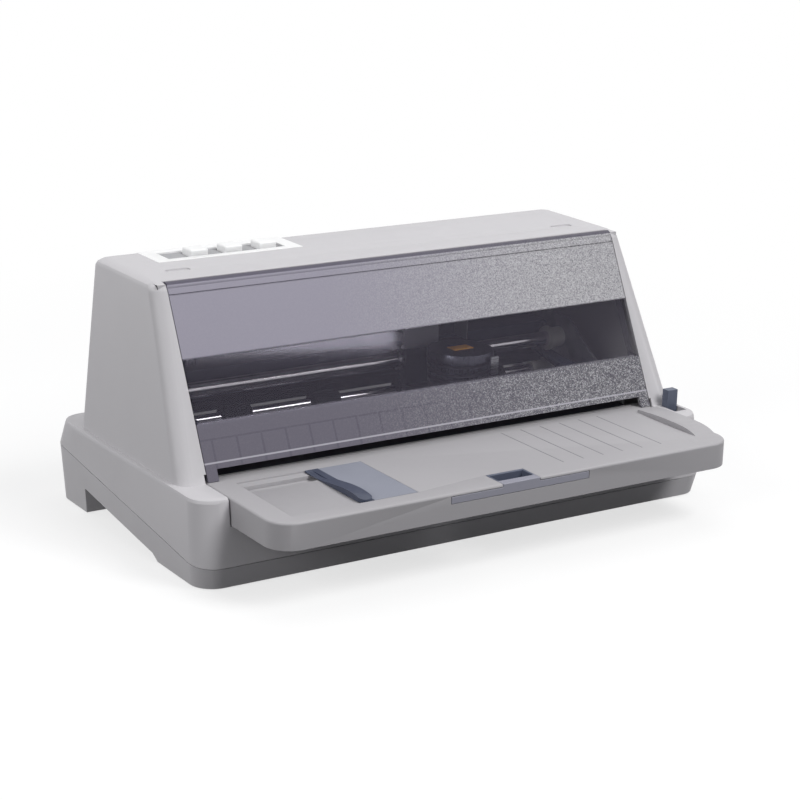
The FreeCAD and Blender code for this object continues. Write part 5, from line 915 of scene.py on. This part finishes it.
class RowTree:
    """Geometry Nodes tree that lays boxes along a line."""

    inputs = (("Count", "NodeSocketInt"), ("Start", "NodeSocketVector"),
              ("Step", "NodeSocketVector"), ("Size", "NodeSocketVector"),
              ("Material", "NodeSocketMaterial"))

    def __init__(self) -> None:
        """Build the tree once."""
        self.tree = bpy.data.node_groups.new("row of boxes", "GeometryNodeTree")
        face = self.tree.interface
        face.new_socket("Geometry", in_out="OUTPUT", socket_type="NodeSocketGeometry")
        self.ids = {
            name: face.new_socket(name, in_out="INPUT", socket_type=kind).identifier
            for name, kind in self.inputs}
        entry, line, box, spread, real, dress, leave = (self.tree.nodes.new(kind) for kind in (
            "NodeGroupInput", "GeometryNodeMeshLine", "GeometryNodeMeshCube",
            "GeometryNodeInstanceOnPoints", "GeometryNodeRealizeInstances",
            "GeometryNodeSetMaterial", "NodeGroupOutput"))
        line.mode = "OFFSET"
        for source, target in (
                (entry.outputs["Count"], line.inputs["Count"]),
                (entry.outputs["Start"], line.inputs["Start Location"]),
                (entry.outputs["Step"], line.inputs["Offset"]),
                (entry.outputs["Size"], box.inputs["Size"]),
                (line.outputs["Mesh"], spread.inputs["Points"]),
                (box.outputs["Mesh"], spread.inputs["Instance"]),
                (spread.outputs["Instances"], real.inputs["Geometry"]),
                (real.outputs["Geometry"], dress.inputs["Geometry"]),
                (entry.outputs["Material"], dress.inputs["Material"]),
                (dress.outputs["Geometry"], leave.inputs["Geometry"])):
            self.tree.links.new(source, target)

    def lay(self, name: str, body: str, finish: Finish, rows: Sequence[Row]) -> None:
        """Make one plain mesh of all the rows and put it on its body.

        Args:
            name: Name of the piece.
            body: Body that it rides on.
            finish: Its finish.
            rows: Rows that it is made of.
        """
        joined = bmesh.new()
        carrier = linked(name, bpy.data.meshes.new(name))
        for row in rows:
            modifier = carrier.modifiers.new("rows", "NODES")
            modifier.node_group = self.tree
            values = (row.count, row.start, row.step, row.size, finish.material())
            for (label, _), value in zip(self.inputs, values):
                modifier[self.ids[label]] = value
            carrier.update_tag()
            seen = carrier.evaluated_get(bpy.context.evaluated_depsgraph_get())
            part = bpy.data.meshes.new_from_object(seen)
            carrier.modifiers.remove(modifier)
            joined.from_mesh(part)
            bpy.data.meshes.remove(part)
        joined.to_mesh(carrier.data)
        joined.free()
        carrier.data.materials.append(finish.material())
        settle(carrier, body, finish)


ROWS = RowTree()


@dataclass
class Ring:
    """Short round sleeve along X."""

    middle: Point
    length: float
    outer: float
    inner: float
    edge: float = 0.0003
    sides: int = 48

    def mesh(self, work: bmesh.types.BMesh) -> None:
        """Add the sleeve to a mesh, as a turned outline with small chamfers.

        Args:
            work: The mesh.
        """
        half, edge = self.length / 2, self.edge
        outline = ((-half, self.inner), (-half, self.outer - edge), (edge - half, self.outer),
                   (half - edge, self.outer), (half, self.outer - edge), (half, self.inner))
        x, y, z = self.middle
        rings = []
        for step in range(self.sides):
            angle = 2 * math.pi * step / self.sides
            rings.append([work.verts.new((x + along, y + radius * math.cos(angle),
                                          z + radius * math.sin(angle)))
                          for along, radius in outline])
        for first, second in zip(rings, rings[1:] + rings[:1]):
            bridge(work, first, second)


@dataclass
class HeadCable:
    """Flat cable that arches from the post on the rear beam over to the carriage."""

    fixed_x: float = 0.034
    moving_x: float = 0.074
    front_y: float = 0.04
    rear_y: float = 0.055
    fixed_foot: float = 0.1
    moving_foot: float = 0.0937
    crown: float = 0.128
    wall: float = 0.0005
    steps: int = 24
    crease: float = 50.0

    def route(self) -> list[tuple[float, float, float, float]]:
        """Middle line of the cable.

        Returns:
            For each point x, z, and the x and z of the outward direction.
        """
        radius = (self.moving_x - self.fixed_x) / 2
        middle = (self.moving_x + self.fixed_x) / 2
        spring = self.crown - radius
        reach = radius - self.wall / 2
        points = [(middle - reach, self.fixed_foot, -1.0, 0.0)]
        for step in range(self.steps + 1):
            angle = math.pi * (1 - step / self.steps)
            out_x, out_z = math.cos(angle), math.sin(angle)
            points.append((middle + reach * out_x, spring + reach * out_z, out_x, out_z))
        points.append((middle + reach, self.moving_foot, 1.0, 0.0))
        return points

    def build(self) -> None:
        """Sweep the flat section along the route and hide the CAD cable."""
        work = bmesh.new()
        half = self.wall / 2
        corner = ((-half, self.front_y), (half, self.front_y),
                  (half, self.rear_y), (-half, self.rear_y))
        sections = [[work.verts.new((x + out * out_x, y, z + out * out_z)) for out, y in corner]
                    for x, z, out_x, out_z in self.route()]
        for first, second in zip(sections, sections[1:]):
            bridge(work, first, second)
        for end in (sections[0], sections[-1]):
            work.faces.new(end)
        cable = piece_of("head_cable_skin", work, PAINT.cable, self.crease)
        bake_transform(cable)
        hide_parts("head_cable")
        LOG.info("piece %s", cable.name)


# Sub-assemblies


@dataclass
class Housing:
    """Case shells, feet and screws."""

    edge: float = 0.0004
    screw_edge: float = 0.0002

    def build(self) -> None:
        """Dress the shells."""
        refine(PAINT.case, "lower_case", "upper_case", edge=self.edge)
        refine(PAINT.rubber, "rubber_feet", edge=self.edge)
        refine(PAINT.spring, "screws", edge=self.screw_edge)


@dataclass
class Cover:
    """Dust cover."""

    edge: float = 0.0003

    def build(self) -> None:
        """Dress the cover."""
        refine(PAINT.cover, "dust_cover", edge=self.edge)


@dataclass
class PaperTray:
    """Front tray, edge guide, support and lever."""

    edge: float = 0.0004
    top: float = 0.0551
    line_right: float = 0.122
    line_pitch: float = 0.0156
    line_count: int = 6
    line_front: float = -0.112
    line_rear: float = -0.0446
    line_width: float = 0.0007
    line_proud: float = 0.00008

    def build(self) -> None:
        """Dress the tray and what slides in it."""
        refine(PAINT.tray, "front_tray", edge=self.edge)
        refine(PAINT.guide, "edge_guide", edge=self.edge)
        refine(PAINT.latch, "paper_support", edge=self.edge)
        refine(PAINT.lever, "release_lever", edge=self.edge)
        self.lines()

    def lines(self) -> None:
        """Ruled lines on the tray's top."""
        middle = (self.line_front + self.line_rear) / 2
        size = (self.line_width, self.line_rear - self.line_front, self.line_proud)
        ROWS.lay("tray_lines", "tray", PAINT.line, [
            Row((self.line_right, middle, self.top), (-self.line_pitch, 0.0, 0.0),
                self.line_count, size)])


@dataclass
class ControlPanel:
    """Panel frame, plate, board and buttons."""

    edge: float = 0.0003

    def build(self) -> None:
        """Dress the panel."""
        refine(PAINT.white, "panel_frame", "eject_button", "feed_button", "pause_button",
               edge=self.edge)
        refine(PAINT.panel, "panel_plate", edge=self.edge)
        paint(PAINT.board, "panel_board")


@dataclass
class Mechanism:
    """Frames, paper path, carriage drive and print head."""

    edge: float = 0.0002
    ring_proud: float = 0.0018
    ring_outer: float = 0.0068
    ring_inner: float = 0.0051

    def build(self) -> None:
        """Dress the mechanism, from the frames to the ribbon."""
        self.frames()
        self.paper_path()
        self.drive()
        self.print_head()
        self.ribbon()

    def frames(self) -> None:
        """Pan, side frames, rail, beam and guide plates."""
        refine(PAINT.sheet, "chassis_pan", "left_side_frame", "right_side_frame", "rear_beam",
               "idler_bracket", edge=self.edge)
        refine(PAINT.black_sheet, "front_rail", "front_guide_plate", "rear_guide_plate",
               edge=self.edge)

    def paper_path(self) -> None:
        """Shafts, rollers, gears, arms and bushes."""
        refine(PAINT.steel, "platen_shaft", "feed_shaft", "pinch_shaft", "carriage_rod",
               "idler_stud", edge=self.edge)
        refine(PAINT.rubber, "platen_roller", "feed_rollers", "pinch_rollers", edge=self.edge)
        paint(PAINT.gear, "platen_gear", "feed_gear", "idler_gear")
        paint(PAINT.spring, "feed_pinion")
        refine(PAINT.gear, "pinch_arms", "shaft_bushes", edge=self.edge)

    def drive(self) -> None:
        """Pulleys, belt, clips, motors and carriage."""
        refine(PAINT.gear, "drive_pulley", "idler_pulley", edge=self.edge)
        paint(PAINT.rubber, "timing_belt")
        refine(PAINT.spring, "rod_clips", "head_clip", edge=self.edge)
        refine(PAINT.motor, "feed_motor", "carriage_motor", edge=self.edge)
        refine(PAINT.carriage, "carriage", edge=self.edge)

    def print_head(self) -> None:
        """Head with its tape, board and cable, and the rings of the carriage sleeve."""
        refine(PAINT.head, "print_head", "head_nose", edge=self.edge)
        refine(PAINT.tape, "head_tape", edge=0.0)
        paint(PAINT.connector, "head_board")
        HeadCable().build()
        self.sleeve_rings()

    def sleeve_rings(self) -> None:
        """Bearing rings in both ends of the carriage sleeve."""
        left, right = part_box("carriage")
        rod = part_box("carriage_rod")
        y, z = ((rod[0][axis] + rod[1][axis]) / 2 for axis in (Axis.Y.value, Axis.Z.value))
        work = bmesh.new()
        for end, side in ((left.x, -1), (right.x, 1)):
            Ring((end + side * self.ring_proud / 2, y, z), self.ring_proud, self.ring_outer,
                 self.ring_inner).mesh(work)
        settle(piece_of("sleeve_rings", work, PAINT.spring), "head_carriage", PAINT.spring)

    def ribbon(self) -> None:
        """Ribbon, its cartridge and the knob."""
        refine(PAINT.cartridge, "ribbon_cartridge", "ribbon_knob", edge=self.edge)
        paint(PAINT.ribbon, "ribbon")


@dataclass
class Electronics:
    """Boards and the sockets at the back."""

    edge: float = 0.0002
    chip_size: float = 0.018
    chip_height: float = 0.0025
    chip_pitch: float = 0.034
    chip_inset: float = 0.0025
    chip_count: int = 5
    leg_pitch: float = 0.00127
    leg_count: int = 13
    leg_width: float = 0.0005
    leg_reach: float = 0.0008
    leg_height: float = 0.0012

    def build(self) -> None:
        """Dress the boards and sockets."""
        paint(PAINT.board, "main_board", "power_supply")
        self.chip_legs()
        refine(PAINT.nickel, "parallel_port", "usb_port", edge=self.edge)
        refine(PAINT.socket, "power_inlet", "power_switch", "power_rocker", edge=self.edge)

    def chip_legs(self) -> None:
        """Legs along both sides of every chip on the main board."""
        low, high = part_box("main_board")
        front = low.y + self.chip_inset
        height = high.z - self.chip_height + self.leg_height / 2
        size = (self.leg_width, self.leg_reach, self.leg_height)
        rows = []
        for chip in range(self.chip_count):
            left = low.x + self.chip_size + chip * self.chip_pitch
            for y in (front - self.leg_reach / 2,
                      front + self.chip_size / 2 + self.leg_reach / 2):
                rows.append(Row((left + self.leg_pitch, y, height), (self.leg_pitch, 0.0, 0.0),
                                self.leg_count, size))
        ROWS.lay("chip_legs", "case", PAINT.nickel, rows)


# Studio


@dataclass
class Camera:
    """Camera fitted to the photograph."""

    place: Point = (-0.7343, -1.11305, 0.4711)
    yaw: float = 33.222
    pitch: float = 16.682
    roll: float = 1.563
    focal_pixels: float = 2142.5
    image_pixels: float = 800.0
    sensor: float = 36.0
    near: float = 0.01
    far: float = 50.0

    def build(self) -> None:
        """Create the camera and make it the scene's own."""
        yaw, pitch, roll = (math.radians(angle) for angle in (self.yaw, self.pitch, self.roll))
        ahead = Vector((math.sin(yaw) * math.cos(pitch), math.cos(yaw) * math.cos(pitch),
                        -math.sin(pitch)))
        right = Vector((math.cos(yaw), -math.sin(yaw), 0.0))
        up = right.cross(ahead)
        turned_right = math.cos(roll) * right + math.sin(roll) * up
        turned_up = math.cos(roll) * up - math.sin(roll) * right
        data = bpy.data.cameras.new("camera")
        data.sensor_width = self.sensor
        data.lens = self.focal_pixels / self.image_pixels * self.sensor
        data.clip_start = self.near
        data.clip_end = self.far
        camera = linked("camera", data)
        axes = Matrix((turned_right, turned_up, -ahead)).transposed().to_4x4()
        camera.matrix_world = Matrix.Translation(self.place) @ axes
        bpy.context.scene.camera = camera


@dataclass
class Lamp:
    """One soft rectangular lamp that points at the machine."""

    name: str
    place: Point
    width: float
    height: float
    power: float
    target: Point = (0.0, 0.0, 0.08)
    roll: float = 0.0

    def build(self) -> None:
        """Create the lamp."""
        data = bpy.data.lights.new(self.name, "AREA")
        data.shape = "RECTANGLE"
        data.size = self.width
        data.size_y = self.height
        data.energy = self.power
        towards = Vector(self.target) - Vector(self.place)
        aim = towards.to_track_quat("-Z", "Y").to_matrix().to_4x4()
        turn = Matrix.Rotation(math.radians(self.roll), 4, "Z")
        linked(self.name, data).matrix_world = Matrix.Translation(self.place) @ aim @ turn


def seen(tree: bpy.types.NodeTree) -> bpy.types.NodeSocket:
    """Share that is 1 for rays from the camera, from gloss and through clear sheet.

    Args:
        tree: Node tree that uses it.

    Returns:
        The share.
    """
    path = tree.nodes.new("ShaderNodeLightPath")
    share = path.outputs["Is Camera Ray"]
    for name in ("Is Glossy Ray", "Is Transmission Ray"):
        joined = tree.nodes.new("ShaderNodeMath")
        joined.operation = "MAXIMUM"
        tree.links.new(share, joined.inputs[0])
        tree.links.new(path.outputs[name], joined.inputs[1])
        share = joined.outputs[0]
    return share


@dataclass
class Studio:
    """White floor that keeps the machine's shadow, white surroundings and soft lamps."""

    white: Colour = (1.0, 1.0, 1.0)
    floor_half: float = 6.0
    floor_bounce: Colour = srgb(80, 80, 83)
    floor_roughness: float = 0.9
    shadow_share: float = 0.3
    shadow_fade: Range = (0.3, 0.75)
    surround: Colour = srgb(236, 238, 242)
    surround_strength: float = 0.22
    lamps: tuple[Lamp, ...] = (
        Lamp("top lamp", (0.4, 0.6, 1.9), 1.6, 1.2, 9.0),
        Lamp("front lamp", (0.7, -1.2, 2.1), 1.0, 0.8, 28.0),
        Lamp("left lamp", (-1.95, -0.5, 1.1), 1.2, 0.9, 17.5),
        Lamp("cover lamp", (0.62, -1.063, 1.085), 0.45, 0.4, 5.8, (-0.06, -0.004, 0.137), -23.5),
        Lamp("rear lamp", (-1.3, 1.9, 1.0), 1.6, 1.2, 11.0),
    )

    def world(self) -> None:
        """White where it is seen, softer as a light."""
        world = bpy.data.worlds.new("studio")
        bpy.context.scene.world = world
        world.use_nodes = True
        tree = world.node_tree
        tree.nodes.clear()
        output = tree.nodes.new("ShaderNodeOutputWorld")
        mix = tree.nodes.new("ShaderNodeMixShader")
        tree.links.new(seen(tree), mix.inputs[0])
        for place, colour, strength in ((1, self.surround, self.surround_strength),
                                        (2, self.white, 1.0)):
            light = tree.nodes.new("ShaderNodeBackground")
            light.inputs["Color"].default_value = (*colour, 1.0)
            light.inputs["Strength"].default_value = strength
            tree.links.new(light.outputs[0], mix.inputs[place])
        tree.links.new(mix.outputs[0], output.inputs[0])

    def floor(self) -> None:
        """Flat floor: where it is seen it is white but for the machine's shadow close by."""
        mesh = bpy.data.meshes.new("floor")
        half = self.floor_half
        mesh.from_pydata([(-half, -half, 0.0), (half, -half, 0.0), (half, half, 0.0),
                          (-half, half, 0.0)], [], [(0, 1, 2, 3)])
        shading = Shading("studio floor")
        shading.set(Base_Color=self.floor_bounce, Roughness=self.floor_roughness,
                    Specular_IOR_Level=0.0)
        shaded = shading.node("ShaderNodeBsdfDiffuse")
        shading.feed(shaded, "Color", (*self.white, 1.0))
        glow = shading.node("ShaderNodeEmission")
        away = shading.node("ShaderNodeVectorMath", operation="LENGTH")
        shading.feed(away, 0, shading.place)
        share = shading.span(away.outputs["Value"], self.shadow_fade,
                             (1 - self.shadow_share, 1.0), smooth=True)
        shown = shading.mixed(share, shaded.outputs[0], glow.outputs[0])
        surface = shading.mixed(seen(shading.tree), shading.shader.outputs[0], shown)
        shading.feed(shading.output, "Surface", surface)
        mesh.materials.append(shading.material)
        linked("floor", mesh)

    def build(self) -> None:
        """Floor, surroundings and lamps."""
        self.world()
        self.floor()
        for lamp in self.lamps:
            lamp.build()
        bpy.context.scene.view_settings.view_transform = "Standard"


def main() -> None:
    """Build the machine's looks and the studio."""
    logging.basicConfig(level=logging.INFO, format="%(message)s")
    Camera().build()
    for part in (Housing(), Cover(), PaperTray(), ControlPanel(), Mechanism(), Electronics(),
                 Studio()):
        part.build()
        LOG.info("built %s", type(part).__name__)


if __name__ == "__main__":
    main()
